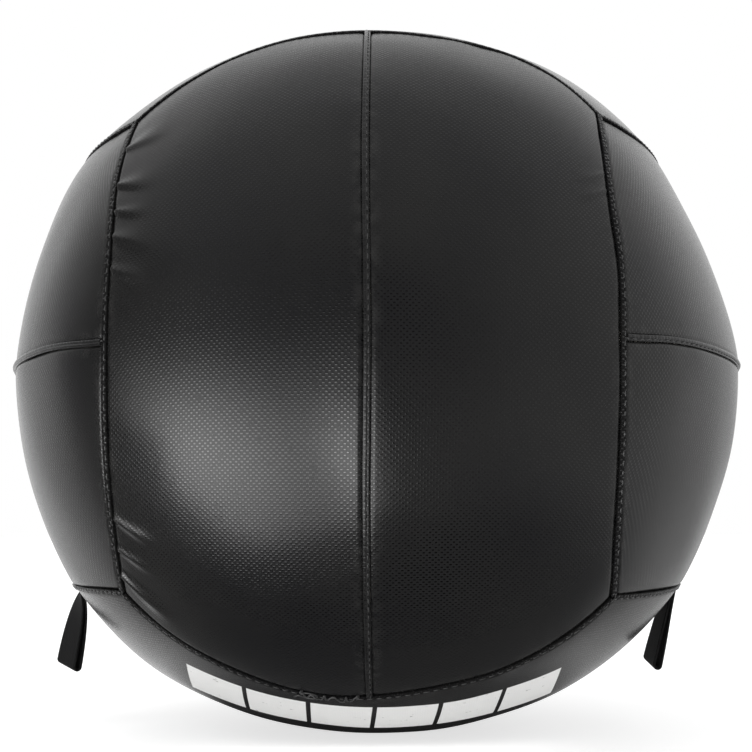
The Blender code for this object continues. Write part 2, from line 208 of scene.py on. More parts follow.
# The filling
FOAM_DEPTH = PANEL_THICK + 0.0009
FOAM_THICK = 0.004
FOAM_MARGIN = 0.004
FOAM_CELLS = (20, 56)
TAIL_LENGTH = 0.008
TAIL_THICK = 0.0020
LINER_DEPTH = 0.0102
LINER_THICK = 0.0008
LINER_CELLS = (120, 60)
SLIT_HALF = (0.070, 0.026)  # half of the fill slit, along the seam and across it
SLIT_GATHER = 0.06  # how far from the slit the liner is gathered
STUFFING_REACH = (0.1620, 0.1570)
STUFFING_TURNS = 150
POCKET_GAP = 0.003
BAG_RADIUS = 0.072
BAG_THICK = 0.0012
BAG_TURNS = 132
PLEATS = 11  # round the neck of the weight bag
PLEAT_DEPTH = 0.004
PLEAT_FOOT = 0.025  # the height above the centre where the pleats start
NECK_RADIUS = 0.012
NECK_TOP = 0.100
NECK_FLARE = 0.002
NECK_ARC = 70  # degrees up from level, where the bag gathers into its neck
TIE_RADIUS = 0.0017
TIE_HEIGHT = 0.082
CORD_RADIUS = 0.0008
CORD_LAY = 0.005
KNOT = (  # the middle of the tie's knot, from its foot
    (0, -0.004, -0.001),
    (0, -0.001, 0.0012),
    (0.0005, 0.0012, 0),
    (0, -0.0008, -0.0012),
    (0.0003, 0.004, 0.001),
)

# The camera, as the photograph was taken
CAMERA_DISTANCE = 0.5956
CAMERA_YAW = math.radians(1.92)
CAMERA_TILT = math.radians(7.41)
CAMERA_ROLL = math.radians(-0.24)
CAMERA_LENS = 55.34
CAMERA_SHIFT = (0.0023, 0.0089)

# The cover's black, where it is darkest and palest, and its pale print
VINYL_TONES = ((0.0058, 0.0058, 0.0064), (0.0102, 0.0100, 0.0098))
RUBBED_TONE = (0.055, 0.054, 0.052)
RUBBED_REACH = 0.006  # from the seams
PRINT_TONE = (0.76, 0.76, 0.75)
WEAVE_PITCH = (0.00116, 0.00108)

# The studio. What the ball mirrors is set by directions from it.
WINDOW_WAY = (-0.505, -0.748, -0.43)  # a low window
WINDOW_LIGHT = 5.4
WINDOW_BRIGHTS = (((-0.36, 0.0), (0.56, 0.72), 0.92), ((0.39, -0.10), (0.17, 0.48), 1.3))
# What the rest of the room shines with, from front to back, as a share of the brightest
SURROUND = ((0.0, 0.06), (0.15, 0.28), (0.30, 0.41), (0.50, 0.52), (0.63, 0.60), (0.92, 0.88))
SURROUND_LIGHT = 1.2
# What stands dark in the room: its way, half of its width and height, its soft edge, how dark it is
SCREENS = (
    ((-1, -0.14, -0.1), (0.46, 0.75), 0.15, 0.85),
    ((0.50, 0.85, -0.25), (0.5, 0.45), 0.3, 0.35),
)
AMBIENT = 0.8
LAMP_PLACE = (-0.7, -0.8, 1.5)
LAMP_SIZE = 1.2
LAMP_POWER = 8.0
FLOOR_REACH = 30.0
FLOOR_GLOW = 0.70
# The dark patch is painted shade: near the ball, the floor is darker and has no glow for the ball's
# reflections.
SHADE_REACH = (0.075, 0.135)  # the dark patch under the ball

X, Y, Z = np.eye(3)
CENTRE = np.array([0, 0, CENTRE_HEIGHT])
FACES = {  # outwards, along the strips, across them, and the names of the two strips
    "front": (-Y, Z, X, ("left", "right")),
    "back": (Y, Z, X, ("left", "right")),
    "left": (-X, Y, Z, ("lower", "upper")),
    "right": (X, Y, Z, ("lower", "upper")),
    "top": (Z, X, Y, ("front", "back")),
    "base": (-Z, X, Y, ("front", "back")),
}


def maths(operation, swapped=False):
    """A method of Wire that adds a Math node, with the wire as its first value, or as its last."""

    def method(wire, *others):
        values = (*others, wire) if swapped else (wire, *others)
        return wire.graph.add("ShaderNodeMath", {"operation": operation}, dict(enumerate(values)))

    return method


class Wire:
    """A number on a link. Each operator adds a Math node."""

    def __init__(self, graph, socket):
        self.graph = graph
        self.socket = socket

    __add__ = __radd__ = maths("ADD")
    __sub__ = maths("SUBTRACT")
    __rsub__ = maths("SUBTRACT", swapped=True)
    __mul__ = __rmul__ = maths("MULTIPLY")
    __truediv__ = maths("DIVIDE")
    __rtruediv__ = maths("DIVIDE", swapped=True)
    __pow__ = maths("POWER")
    __rpow__ = maths("POWER", swapped=True)
    sine = maths("SINE")
    cosine = maths("COSINE")
    size = maths("ABSOLUTE")
    least = maths("MINIMUM")
    most = maths("MAXIMUM")
    above = maths("GREATER_THAN")

    def __neg__(self):
        return self * -1

    def other(self, name):
        """Another output of the same node."""
        return Wire(self.graph, self.socket.node.outputs[name])

    def rise(self, start, end):
        """0 before start, 1 after end, and smooth between."""
        settings = {"interpolation_type": "SMOOTHSTEP"}
        return self.graph.add("ShaderNodeMapRange", settings, {0: self, 1: start, 2: end})


class Graph:
    """A node tree. All of its nodes come from add."""

    def __init__(self, tree):
        self.tree = tree

    def add(self, kind, settings=None, sockets=None, out=0):
        node = self.tree.nodes.new(kind)
        for name, value in (settings or {}).items():
            if name == "stops":
                set_stops(node.color_ramp.elements, value)
            else:
                setattr(node, name, value)
        for key, value in (sockets or {}).items():
            if isinstance(value, Wire):
                self.tree.links.new(value.socket, node.inputs[key])
            else:
                node.inputs[key].default_value = value
        return None if out is None else Wire(self, node.outputs[out])

    def vectors(self, operation, *values, **sockets):
        """A Vector Math node. Its link is a number where the operation gives one."""
        out = "Value" if operation in ("DOT_PRODUCT", "LENGTH") else "Vector"
        sockets.update(enumerate(values))
        return self.add("ShaderNodeVectorMath", {"operation": operation}, sockets, out)

    def space(self):
        """The point of a piece that is being coloured."""
        return self.add("ShaderNodeTexCoord", out="Object")


def set_stops(elements, stops):
    """Sets the stops of a grey ramp, each a place and a level."""
    while len(elements) < len(stops):
        elements.new(0.5)
    for element, (place, level) in zip(elements, stops):
        element.position = place
        element.color = (level, level, level, 1)


def unit(vectors):
    """The same ways, each of length 1."""
    return vectors / np.linalg.norm(vectors, axis=-1, keepdims=True)


def seam_offset(t):
    """How far a side seam lies from the plane through the middle of its face, as a share of the radius."""
    return CORNER - (CORNER - SEAM_MIDDLE) * (1 - t * t)


def long_side(face, half, t):
    """Directions on the outer long side of a strip, with t from -1 to 1."""
    out, along, across, _ = FACES[face]
    offset = seam_offset(t)[..., None]
    turn = QUARTER * t[..., None]
    return (out * np.cos(turn) + along * np.sin(turn)) * np.sqrt(1 - offset**2) + across * half * offset


def centre_line(face, t):
    """Directions on the seam down the middle of a face."""
    out, along, _, _ = FACES[face]
    turn = math.acos(SEAM_MIDDLE) * t[..., None]
    return out * np.cos(turn) + along * np.sin(turn)


def short_side(face, half, end, s):
    """Directions on the end of a strip, from the middle of its face to the corner."""
    out, along, across, _ = FACES[face]
    offset = seam_offset(s)[..., None]
    turn = QUARTER * s[..., None]
    level = along * end * np.cos(turn) + across * half * np.sin(turn)
    return out * offset + level * np.sqrt(1 - offset**2)


def nudged(direction):
    """Directions on the pattern, moved to where the sewn cover has them."""
    moved = direction
    for way, shift, reach in NUDGES:
        away = np.sum((direction - np.array(way)) ** 2, axis=-1, keepdims=True)
        moved = moved + np.array(shift) * np.exp(-away / reach**2)
    return unit(moved)


def strip_direction(face, half, u, v):
    """Directions inside a strip: u runs from the middle of the face to its side, v from end to end."""
    w = (v[..., None] + 1) / 2
    share = u[..., None]
    zero, one = np.zeros_like(u), np.ones_like(u)
    sides = centre_line(face, v) * (1 - share) + long_side(face, half, v) * share
    ends = short_side(face, half, -1, u) * (1 - w) + short_side(face, half, 1, u) * w
    low = short_side(face, half, -1, zero) * (1 - share) + short_side(face, half, -1, one) * share
    high = short_side(face, half, 1, zero) * (1 - share) + short_side(face, half, 1, one) * share
    return nudged(unit(sides + ends - low * (1 - w) - high * w))


def skin_point(direction, depth):
    """Points under directions, at depths below the round skin of the solids."""
    fourth = np.sum(direction**4, axis=-1)
    radius = BALL_RADIUS * (1 - SQUARENESS * (fourth - 0.6)) - depth
    return direction * radius[..., None] * np.array([1, 1, SETTLE]) + CENTRE


def cover_point(direction, depth):
    """Points under directions, at depths below the skin with its bulges."""
    for way, height, reach in BULGES:
        depth = depth - height * np.exp(-np.sum((direction - np.array(way)) ** 2, axis=-1) / reach**2)
    return skin_point(direction, depth)


def seam_middle(face, depth=0):
    """The point under the middle of a face's first side seam."""
    return skin_point(long_side(face, -1, np.zeros(1)), depth)[0]


def hollow(u, v):
    """How far a strip sinks between its seams, as its solid does."""
    return PANEL_HOLLOW * (1 - (2 * u - 1) ** 2) * (1 - v**4)


def margin_share(face, half, u, v, step_u, step_v, margin):
    """How much of u or v a margin takes up at the edge of a strip. One of the steps is 0."""
    edge = skin_point(strip_direction(face, half, u, v), 0)
    inside = skin_point(strip_direction(face, half, u + step_u, v + step_v), 0)
    beside = skin_point(strip_direction(face, half, u + step_v, v + step_u), 0)
    away = np.linalg.norm(np.cross(inside - edge, unit(beside - edge)), axis=-1)
    return margin * abs(step_u + step_v) / away


def crowded(count, crowd):
    """Shares from 0 to 1 that crowd towards both ends."""
    share = np.linspace(0, 1, count + 1)
    return share - crowd * np.sin(2 * math.pi * share) / (2 * math.pi)


def strip_grid(face, half, margin, cells, crowd):
    """u and v of a grid over a strip that stops a margin short of its seams."""
    u, v = np.meshgrid(crowded(cells[0], crowd), crowded(cells[1], crowd) * 2 - 1, indexing="ij")
    zero, one = np.zeros_like(u), np.ones_like(u)
    step = MEASURE_STEP
    middle_cut = margin_share(face, half, zero, v, step, 0, margin)
    side_cut = margin_share(face, half, one, v, -step, 0, margin)
    low_cut = margin_share(face, half, u, -one, 0, step, margin)
    high_cut = margin_share(face, half, u, one, 0, -step, margin)
    return middle_cut + (1 - side_cut - middle_cut) * u, v + low_cut * (1 - v) / 2 - high_cut * (1 + v) / 2


def lengths(points, axis):
    """How far each point of a grid is along its line, from the first one."""
    steps = np.linalg.norm(np.diff(points, axis=axis), axis=-1)
    first = np.zeros_like(np.take(steps, [0], axis=axis))
    return np.concatenate([first, np.cumsum(steps, axis=axis)], axis=axis)


def waver(places, step, seed):
    """A smooth uneven value from -1 to 1 at each place, with a hump about every step."""
    heights = np.random.default_rng(seed).uniform(-1, 1, 512)
    place = places / step + 64
    low = np.floor(place).astype(int)
    share = place - low
    share = share * share * (3 - 2 * share)
    return heights[low % 512] * (1 - share) + heights[(low + 1) % 512] * share


def swell(points, step, seed):
    """A smooth uneven value about 0 at each point of space, from a few waves."""
    dice = np.random.default_rng(seed)
    total = np.zeros(points.shape[:-1])
    for _ in range(9):
        way = unit(dice.normal(size=3)) * (2 * math.pi / step) * dice.uniform(0.6, 1.4)
        total = total + np.cos(points @ way + dice.uniform(0, 2 * math.pi))
    return total / 3


def rest_on_ground(points):
    """Presses what lies below the ground flat against it."""
    height = points[..., 2]
    points[..., 2] = (height + np.sqrt(height**2 + GROUND_EASE**2)) / 2
    return points


def puckers(away, beside, seed):
    """How far the puckers of a seam pull its panel in."""
    slant = waver(beside, 5 * PUCKER_STEP, seed) * 0.5
    folds = waver(beside + away * slant, PUCKER_STEP, seed + 1)
    strength = 0.35 + 0.65 * np.clip(waver(beside, 4 * PUCKER_STEP, seed + 2), 0, 1)
    return PUCKER_DEPTH * strength * folds * np.exp(-away / PUCKER_REACH)


def tucks(side, away, beside):
    """How far the tucks at the side seam of a front panel stand up."""
    height = np.zeros_like(away)
    for start, slope, length, below, above, rise in TUCKS[side]:
        off = beside - start + slope * away
        off = off / (np.where(off < 0, below, above) * (0.45 + away / length))
        fade = np.clip(away / TUCK_ROOT, 0, 1) * np.exp(-((away / length) ** 4))
        height = height + rise * np.exp(-(off**2)) * fade
    return height


def link_piece(name, mesh):
    """A new object in the scene."""
    piece = bpy.data.objects.new(name, mesh)
    bpy.context.scene.collection.objects.link(piece)
    return piece


def new_piece(name, vertices, faces, corner_uv):
    """An object of a mesh in world coordinates. corner_uv has a row for each corner of each face."""
    mesh = bpy.data.meshes.new(name)
    mesh.from_pydata(vertices.reshape(-1, 3).tolist(), [], faces)
    layer = mesh.uv_layers.new(name="UVMap")
    layer.data.foreach_set("uv", corner_uv.astype(np.float32).ravel())
    mesh.shade_smooth()
    mesh.set_sharp_from_angle(angle=SHARP_ANGLE)
    return link_piece(name, mesh)


def new_slab(name, outer, inner, uv):
    """A closed sheet between two grids of points, which face each other."""
    rows, columns = outer.shape[:2]
    index = np.arange(rows * columns).reshape(rows, columns)
    quads = np.stack([index[:-1, :-1], index[1:, :-1], index[1:, 1:], index[:-1, 1:]], axis=-1)
    quads = quads.reshape(-1, 4)
    rim = np.concatenate([index[:-1, 0], index[-1, :-1], index[:0:-1, -1], index[0, :0:-1]])
    turned = np.roll(rim, -1)
    behind = rows * columns
    sides = np.stack([turned, rim, rim + behind, turned + behind], axis=-1)
    faces = np.concatenate([quads, quads[:, ::-1] + behind, sides])
    front = outer.reshape(-1, 3)
    a, b, c = (front[quads[:, k]] for k in range(3))
    if np.sum(np.cross(b - a, c - b) * (a - inner.reshape(-1, 3)[quads[:, 0]])) < 0:
        faces = faces[:, ::-1]
    vertex_uv = np.concatenate([uv.reshape(-1, 2), uv.reshape(-1, 2)])
    return new_piece(name, np.stack([outer, inner]), faces.tolist(), vertex_uv[faces.ravel()])


def new_bars(name, parts):
    """An object of closed bars. Each part is an array of rings of points, with its ends closed by fans."""
    vertices, faces, corner_uv = [], [], []
    for rings in parts:
        count, sides = rings.shape[:2]
        first = sum(len(block) for block in vertices)
        vertices += [rings.reshape(-1, 3), rings[0].mean(axis=0)[None], rings[-1].mean(axis=0)[None]]
        girth = np.max(np.sum(np.linalg.norm(np.roll(rings, -1, axis=1) - rings, axis=-1), axis=1))
        run = lengths(rings, 0)[:, 0]
        for i in range(count - 1):
            for k in range(sides):
                here, beside = first + i * sides + k, first + i * sides + (k + 1) % sides
                faces.append([here, here + sides, beside + sides, beside])
                left, right = k / sides * girth, (k + 1) / sides * girth
                corner_uv += [(left, run[i]), (left, run[i + 1]), (right, run[i + 1]), (right, run[i])]
        low, high = first + count * sides, first + count * sides + 1
        for k in range(sides):
            here, beside = first + k, first + (k + 1) % sides
            faces.append([here, beside, low])
            faces.append([beside + (count - 1) * sides, here + (count - 1) * sides, high])
            corner_uv += [(0, 0)] * 6
    piece = new_piece(name, np.concatenate(vertices), faces, np.array(corner_uv))
    if signed_volume(piece.data) < 0:
        piece.data.flip_normals()
    return piece


def signed_volume(mesh):
    """The volume that a mesh encloses, which is negative where it is inside out."""
    bm = bmesh.new()
    bm.from_mesh(mesh)
    volume = bm.calc_volume(signed=True)
    bm.free()
    return volume


def thread_rings(points, radius, sides, strands=0, lay=1.0):
    """Rings round a line of points. With strands, the thread is a rope, which turns once in its lay."""
    ahead = unit(np.gradient(points, axis=0))
    normal = unit(np.cross(ahead[0], Z + 0.3 * X))
    run = lengths(points, 0)
    turns = np.arange(sides) / sides * 2 * math.pi
    rings = []
    for place, way, length in zip(points, ahead, run):
        normal = unit(normal - way * (normal @ way))
        beside = np.cross(way, normal)
        bulge = 0.86 + 0.14 * np.abs(np.cos(strands / 2 * (turns - 2 * math.pi * length / lay)))
        reach = radius * (bulge if strands else np.ones(sides))
        ring = normal * np.cos(turns)[:, None] + beside * np.sin(turns)[:, None]
        rings.append(place + ring * reach[:, None])
    return np.array(rings)


def smooth_line(points, count):
    """A smooth line through points (Catmull-Rom)."""
    points = np.array(points, float)
    ends = np.concatenate([[2 * points[0] - points[1]], points, [2 * points[-1] - points[-2]]])
    place = np.linspace(0, len(points) - 1.000001, count)
    k = place.astype(int)
    s = (place - k)[:, None]
    a, b, c, d = (ends[k + step] for step in range(4))
    return 0.5 * (2 * b + (c - a) * s + (2 * a - 5 * b + 4 * c - d) * s**2 + (3 * b - a - 3 * c + d) * s**3)


def turned_rings(profile, turns):
    """Rings about the ball's upright axis. The profile's points are (radius, height above the centre)."""
    angle = np.arange(turns) / turns * 2 * math.pi
    radius, height = np.array(profile).T
    circle = np.stack([np.cos(angle), np.sin(angle), np.zeros(turns)], axis=-1)
    return circle * radius[:, None, None] + (CENTRE + Z * height[:, None])[:, None, :]


def arc(reach, start, end, steps):
    """Points of a circle or an ellipse in a profile, between two angles above level, in degrees."""
    turn = np.radians(np.linspace(start, end, steps + 1))
    return np.stack([reach[0] * np.cos(turn), reach[1] * np.sin(turn)], axis=-1)


def straight(start, end, steps):
    """Points between two ends, without the ends themselves."""
    return np.linspace(start, end, steps + 2)[1:-1]


def dress(piece, material, slot, body, *nodes):
    """Gives a finished piece its material and its body if it has just one, and hides the solids that it
    stands for. The slot is not used.
    """
    piece.data.materials.clear()
    piece.data.materials.append(material)
    if body:
        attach(piece, body)
    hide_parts(*nodes)


# Materials


def add_shader(graph, colour, roughness, height, **others):
    """A shader with a bump. height is in metres."""
    bump = graph.add("ShaderNodeBump", {}, {"Height": height, "Distance": 1.0})
    sockets = {"Base Color": colour, "Roughness": roughness, "Normal": bump}
    sockets.update({key.replace("_", " "): value for key, value in others.items()})
    return graph.add("ShaderNodeBsdfPrincipled", {}, sockets)


def finish_material(name, graph, shader):
    """The named material, with its shader linked."""
    graph.add("ShaderNodeOutputMaterial", {}, {"Surface": shader}, out=None)
    return bpy.data.materials[name]


def start_material(name):
    """The empty node tree of a new material."""
    material = bpy.data.materials.new(name)
    material.use_nodes = True
    material.node_tree.nodes.clear()
    return Graph(material.node_tree)


def noise(graph, place, scale, detail=2.0):
    """A soft uneven number from 0 to 1. Another output has an uneven colour."""
    return graph.add("ShaderNodeTexNoise", {}, {"Vector": place, "Scale": scale, "Detail": detail})


def mix(graph, share, first, second):
    """A colour between two, each of them a colour or a link."""
    first = first if isinstance(first, Wire) else (*first, 1)
    second = second if isinstance(second, Wire) else (*second, 1)
    return graph.add("ShaderNodeMix", {"data_type": "RGBA"}, {0: share, 6: first, 7: second}, out=2)


def grains(graph, place, scale):
    """How far a place is from the middle of the grain it lies in. Another output has the grain's colour."""
    return graph.add("ShaderNodeTexVoronoi", {}, {"Vector": place, "Scale": scale}, out="Distance")


def cloth_coordinates(graph):
    """A point of the piece in space, and its place on the cloth in metres."""
    flat = graph.add("ShaderNodeUVMap", {"uv_map": "UVMap"})
    across = graph.add("ShaderNodeSeparateXYZ", {}, {0: flat})
    return graph.space(), across, across.other(1)


def plain_weave(across, along, pitch):
    """The height of a plain weave, from 0 to 1. The threads that run across stand highest."""
    upright = ((across * (math.pi / pitch[0])).sine() * 1.7).least(1).most(-1)
    level = (along * (math.pi / pitch[1])).sine()
    return upright * level * level.size() * 0.5 + 0.5


def print_mask(across, along):
    """1 where the plain blocks are printed on the base's front panel."""
    along = along - CLOTH_MIDDLE
    slanted = along - (across - PRINT_REACH[0]) * PRINT_SLANT
    gaps = (slanted * (math.pi / PRINT_BLOCK)).sine().size().rise(0.10, 0.13)
    length = 1 - slanted.size().rise(PRINT_HALF - PRINT_ENDS_SOFT, PRINT_HALF)
    low, high = PRINT_REACH
    across = across + along * 0.05 + along * along  # the print runs straight, and the seam curves
    width = across.rise(low, low + PRINT_SIDES_SOFT) * (1 - across.rise(high - PRINT_SIDES_SOFT, high))
    return gaps * length * width


def make_vinyl(name, wear, crumple=0.0, shine=(1.34, 1.56), fade=0.0042, printed=False):
    """Black coated cloth: the crowns of its weave are polished.

    wear is how much its edges are rubbed. fade is how much paler the ground is than the cover's black, and
    how much darker the crowns are: painted reflection, which makes up for the ground's weaker reflection of
    the room.
    """
    graph = start_material(name)
    place, across, along = cloth_coordinates(graph)
    seam = graph.add("ShaderNodeAttribute", {"attribute_name": "seam"}, out="Fac")
    rubbed = (1 - seam.rise(0, RUBBED_REACH)) * noise(graph, place, 220, 3).rise(0.35, 0.7) * wear
    cloudy = noise(graph, place, 14, 4)
    weave = plain_weave(across, along, WEAVE_PITCH)
    crown = weave.rise(0.55, 0.95) * noise(graph, place, 500, 2).rise(0.25, 0.5)
    creases = noise(graph, place, 75, 3) * 0.00004 + noise(graph, place, 420, 3) * (crumple * 0.0003)
    patchy = cloudy.rise(0.3, 0.75)
    roughness = cloudy * 0.08 + rubbed * 0.15
    height = crown * 0.000028 + weave * 0.000012 + creases
    if printed:
        ink = print_mask(across, along) * (1 - noise(graph, place, 300, 4).rise(0.66, 0.75) * 0.6)
        roughness = roughness + ink * 0.2
    shaders = []
    # The ground's paler colour and the crowns' darker one are painted reflection: in dim light they make
    # the ground, which reflects less, as bright as the crowns.
    for paler, rougher, index in ((fade, 0.19, shine[0]), (-fade, 0.08, shine[1])):
        dark, light = [tuple(part + paler for part in tone) for tone in VINYL_TONES]
        colour = mix(graph, rubbed, mix(graph, patchy, dark, light), RUBBED_TONE)
        if printed:
            colour = mix(graph, ink, colour, PRINT_TONE)
        shaders.append(add_shader(graph, colour, roughness + rougher, height, IOR=index))
    mixed = graph.add("ShaderNodeMixShader", {}, {0: crown, 1: shaders[0], 2: shaders[1]})
    return finish_material(name, graph, mixed)


def make_webbing(name):
    """Black woven tape: ribs across, with fine threads."""
    graph = start_material(name)
    place, across, along = cloth_coordinates(graph)
    weave = plain_weave(across, along, (0.0009, 0.0013))
    fuzz = noise(graph, place, 900, 3)
    colour = mix(graph, fuzz.rise(0.3, 0.8), (0.0035, 0.0035, 0.0038), (0.0100, 0.0100, 0.0100))
    height = weave * 0.00016 + fuzz * 0.00003
    shader = add_shader(graph, colour, fuzz * 0.2 + 0.68, height, Specular_IOR_Level=0.12)
    return finish_material(name, graph, shader)


def make_thread(name):
    """Black waxed thread."""
    graph = start_material(name)
    fuzz = noise(graph, graph.space(), 1500)
    colour = mix(graph, fuzz, (0.022, 0.022, 0.022), (0.066, 0.066, 0.066))
    return finish_material(name, graph, add_shader(graph, colour, fuzz * 0.2 + 0.27, fuzz * 0.00004))


def make_foam(name):
    """Dark foam with open pores, with painted shade in them."""
    graph = start_material(name)
    place = graph.space()
    pores = grains(graph, place, 900)
    patches = noise(graph, place, 60)
    pore_shade = 1 - pores.rise(0.1, 0.5)
    # The pores are darker: painted shade in the holes.
    colour = mix(graph, pore_shade * 0.7 + patches * 0.3, (0.105, 0.105, 0.110), (0.035, 0.035, 0.038))
    return finish_material(name, graph, add_shader(graph, colour, patches * 0.1 + 0.85, pores * 0.0004))


def make_cloth(name, pale, dark, pitch, relief):
    """Plain woven cloth, with thick and thin threads, some dirt, and painted shade where the weave lies
    low.
    """
    graph = start_material(name)
    place, across, along = cloth_coordinates(graph)
    weave = plain_weave(across, along, pitch)
    slubs = noise(graph, place, 240, 3)
    dirt = noise(graph, place, 18, 4).rise(0.45, 0.8)
    # Where the weave lies low it is darker: painted shade between the threads. The slubs' tone differs at
    # random.
    colour = mix(graph, weave * 0.5 + slubs * 0.4, dark, pale)
    colour = mix(graph, dirt * 0.35, colour, dark)
    shader = add_shader(graph, colour, slubs * 0.1 + 0.82, (weave + slubs * 0.4) * relief)
    return finish_material(name, graph, shader)


def make_stuffing_material(name):
    """Shreds of many cloths, pressed together, with painted shade in the gaps between them."""
    graph = start_material(name)
    place = graph.space()
    bend = graph.vectors("SCALE", noise(graph, place, 60).other("Color"), Scale=0.03)
    shreds = grains(graph, graph.vectors("ADD", place, bend), 130)
    tint = graph.add("ShaderNodeSeparateXYZ", {}, {0: shreds.other("Color")})
    colour = mix(graph, tint.rise(0.2, 0.8), (0.10, 0.13, 0.22), (0.40, 0.39, 0.37))
    colour = mix(graph, tint.other(1).rise(0.75, 0.8) * 0.8, colour, (0.30, 0.09, 0.07))
    fluff = noise(graph, place, 1200, 3)
    # Darker towards the edges of the shreds: painted shade in the gaps between them.
    colour = mix(graph, shreds.rise(0.3, 0.9) * 0.6, colour, (0.03, 0.03, 0.035))
    shader = add_shader(graph, colour, fluff * 0.1 + 0.85, fluff * 0.0002 - shreds * 0.0018)
    return finish_material(name, graph, shader)


def make_grit(name):
    """Small grey stones and iron grains, with painted shade between them."""
    graph = start_material(name)
    stones = grains(graph, graph.space(), 480)
    tint = graph.add("ShaderNodeSeparateXYZ", {}, {0: stones.other("Color")})
    iron = tint.other(1).rise(0.45, 0.5)
    colour = mix(graph, tint, (0.08, 0.075, 0.07), (0.34, 0.32, 0.29))
    # Darker between the grains: painted shade in the gaps.
    colour = mix(graph, stones.rise(0.35, 0.8), colour, (0.02, 0.02, 0.02))
    shader = add_shader(graph, colour, tint * 0.3 + 0.35, stones * -0.0012, Metallic=iron * 0.8)
    return finish_material(name, graph, shader)


def make_cord(name):
    """Pale twisted cotton, with painted shade in the grooves of its twist."""
    graph = start_material(name)
    place, across, along = cloth_coordinates(graph)
    fibres = noise(graph, place, 1400, 3)
    lay = (along * 1500 + across * 900).sine() * 0.5 + 0.5
    # The grooves of the twist are darker: painted shade between the plies.
    colour = mix(graph, fibres * 0.6 + lay * 0.4, (0.42, 0.38, 0.30), (0.74, 0.70, 0.60))
    shader = add_shader(graph, colour, fibres * 0.1 + 0.8, lay * 0.00006 + fibres * 0.00005)
    return finish_material(name, graph, shader)


# The studio


def make_camera():
    """The camera, set by its yaw, tilt and distance from the ball's centre."""
    lens = bpy.data.cameras.new("camera")
    lens.lens = CAMERA_LENS
    lens.sensor_width = 36
    lens.shift_x, lens.shift_y = CAMERA_SHIFT
    lens.clip_start = 0.01
    level = math.cos(CAMERA_TILT)
    back = Vector((math.sin(CAMERA_YAW) * level, -math.cos(CAMERA_YAW) * level, -math.sin(CAMERA_TILT)))
    camera = link_piece("camera", lens)
    camera.location = Vector(CENTRE) + back * CAMERA_DISTANCE
    aim = (-back).to_track_quat("-Z", "Y") @ Quaternion((0, 0, 1), CAMERA_ROLL)
    camera.rotation_euler = aim.to_euler()
    bpy.context.scene.camera = camera


def plane(graph, way, direction):
    """A plane in a direction, seen from the ball: 1 where it is ahead, and places along and up it."""
    out = Vector(direction).normalized()
    side = Vector((0, 0, 1)).cross(out).normalized()
    ahead, level, upright = (
        graph.vectors("DOT_PRODUCT", way, tuple(axis)) for axis in (out, side, out.cross(side))
    )
    reach = ahead.most(0.05)
    return ahead.rise(0, 0.1), level / reach, upright / reach


def box_mask(graph, way, direction, half, soft):
    """1 inside a rectangle of directions, and 0 outside it."""
    mask, level, upright = plane(graph, way, direction)
    for place, limit in ((level, half[0]), (upright, half[1])):
        mask = mask * (1 - place.size().rise(limit - soft, limit + soft))
    return mask


def window_glow(graph, way):
    """The low window: bright at its left, weaker at its top, and cut off by what stands before it."""
    ahead, level, upright = plane(graph, way, WINDOW_WAY)
    left = (level + 0.52 + upright.rise(0.08, 0.30) * 0.27).rise(-0.06, 0.06)
    corner = (level * 0.79 + upright * 0.73 + 0.50).rise(-0.05, 0.05)
    sides = left * corner * (1 - level.rise(0.62, 0.74)) * (upright + 0.43).rise(-0.05, 0.05)
    glow = (1 - upright.rise(0.0, 0.75)) * 0.55
    for middle, reach, light in WINDOW_BRIGHTS:
        across, up = (level - middle[0]) / reach[0], (upright - middle[1]) / reach[1]
        glow = glow + (1 - ((across * across + up * up) ** 0.5).rise(0, 1)) * light
    return ahead * sides * glow


def make_world():
    """White to the eye. The ball mirrors a white sweep behind it, a dim room in front, and a low window."""
    world = bpy.data.worlds.new("studio")
    bpy.context.scene.world = world
    world.use_nodes = True
    world.node_tree.nodes.clear()
    graph = Graph(world.node_tree)
    way = graph.add("ShaderNodeTexCoord", out="Generated")
    behind = graph.add("ShaderNodeSeparateXYZ", {}, {0: way}, out="Y")
    surround = graph.add("ShaderNodeValToRGB", {"stops": SURROUND}, {0: behind * 0.5 + 0.5})
    surround = surround + behind.other("X").rise(0.3, 0.9) * 0.10
    # Below the ball the room is dark, but for the sides of the sweep behind it
    under = (-behind.other("Z")).rise(0.35, 0.85)
    under = under * (1 - behind.rise(0.35, 0.7) * behind.other("X").size().rise(0.15, 0.4))
    mirrored = surround * (1 - under * 0.9) * SURROUND_LIGHT
    for direction, half, soft, dark in SCREENS:
        mirrored = mirrored * (1 - box_mask(graph, way, direction, half, soft) * dark)
    mirrored = mirrored + window_glow(graph, way) * WINDOW_LIGHT
    rays = graph.add("ShaderNodeLightPath", out="Is Camera Ray")
    plain = (rays + rays.other("Is Transmission Ray")).least(1)
    glossy = rays.other("Is Glossy Ray")
    strength = plain + (1 - plain) * (glossy * mirrored + (1 - glossy) * AMBIENT)
    shine = graph.add("ShaderNodeBackground", {}, {"Color": (1, 1, 1, 1), "Strength": strength})
    graph.add("ShaderNodeOutputWorld", {}, {"Surface": shine}, out=None)


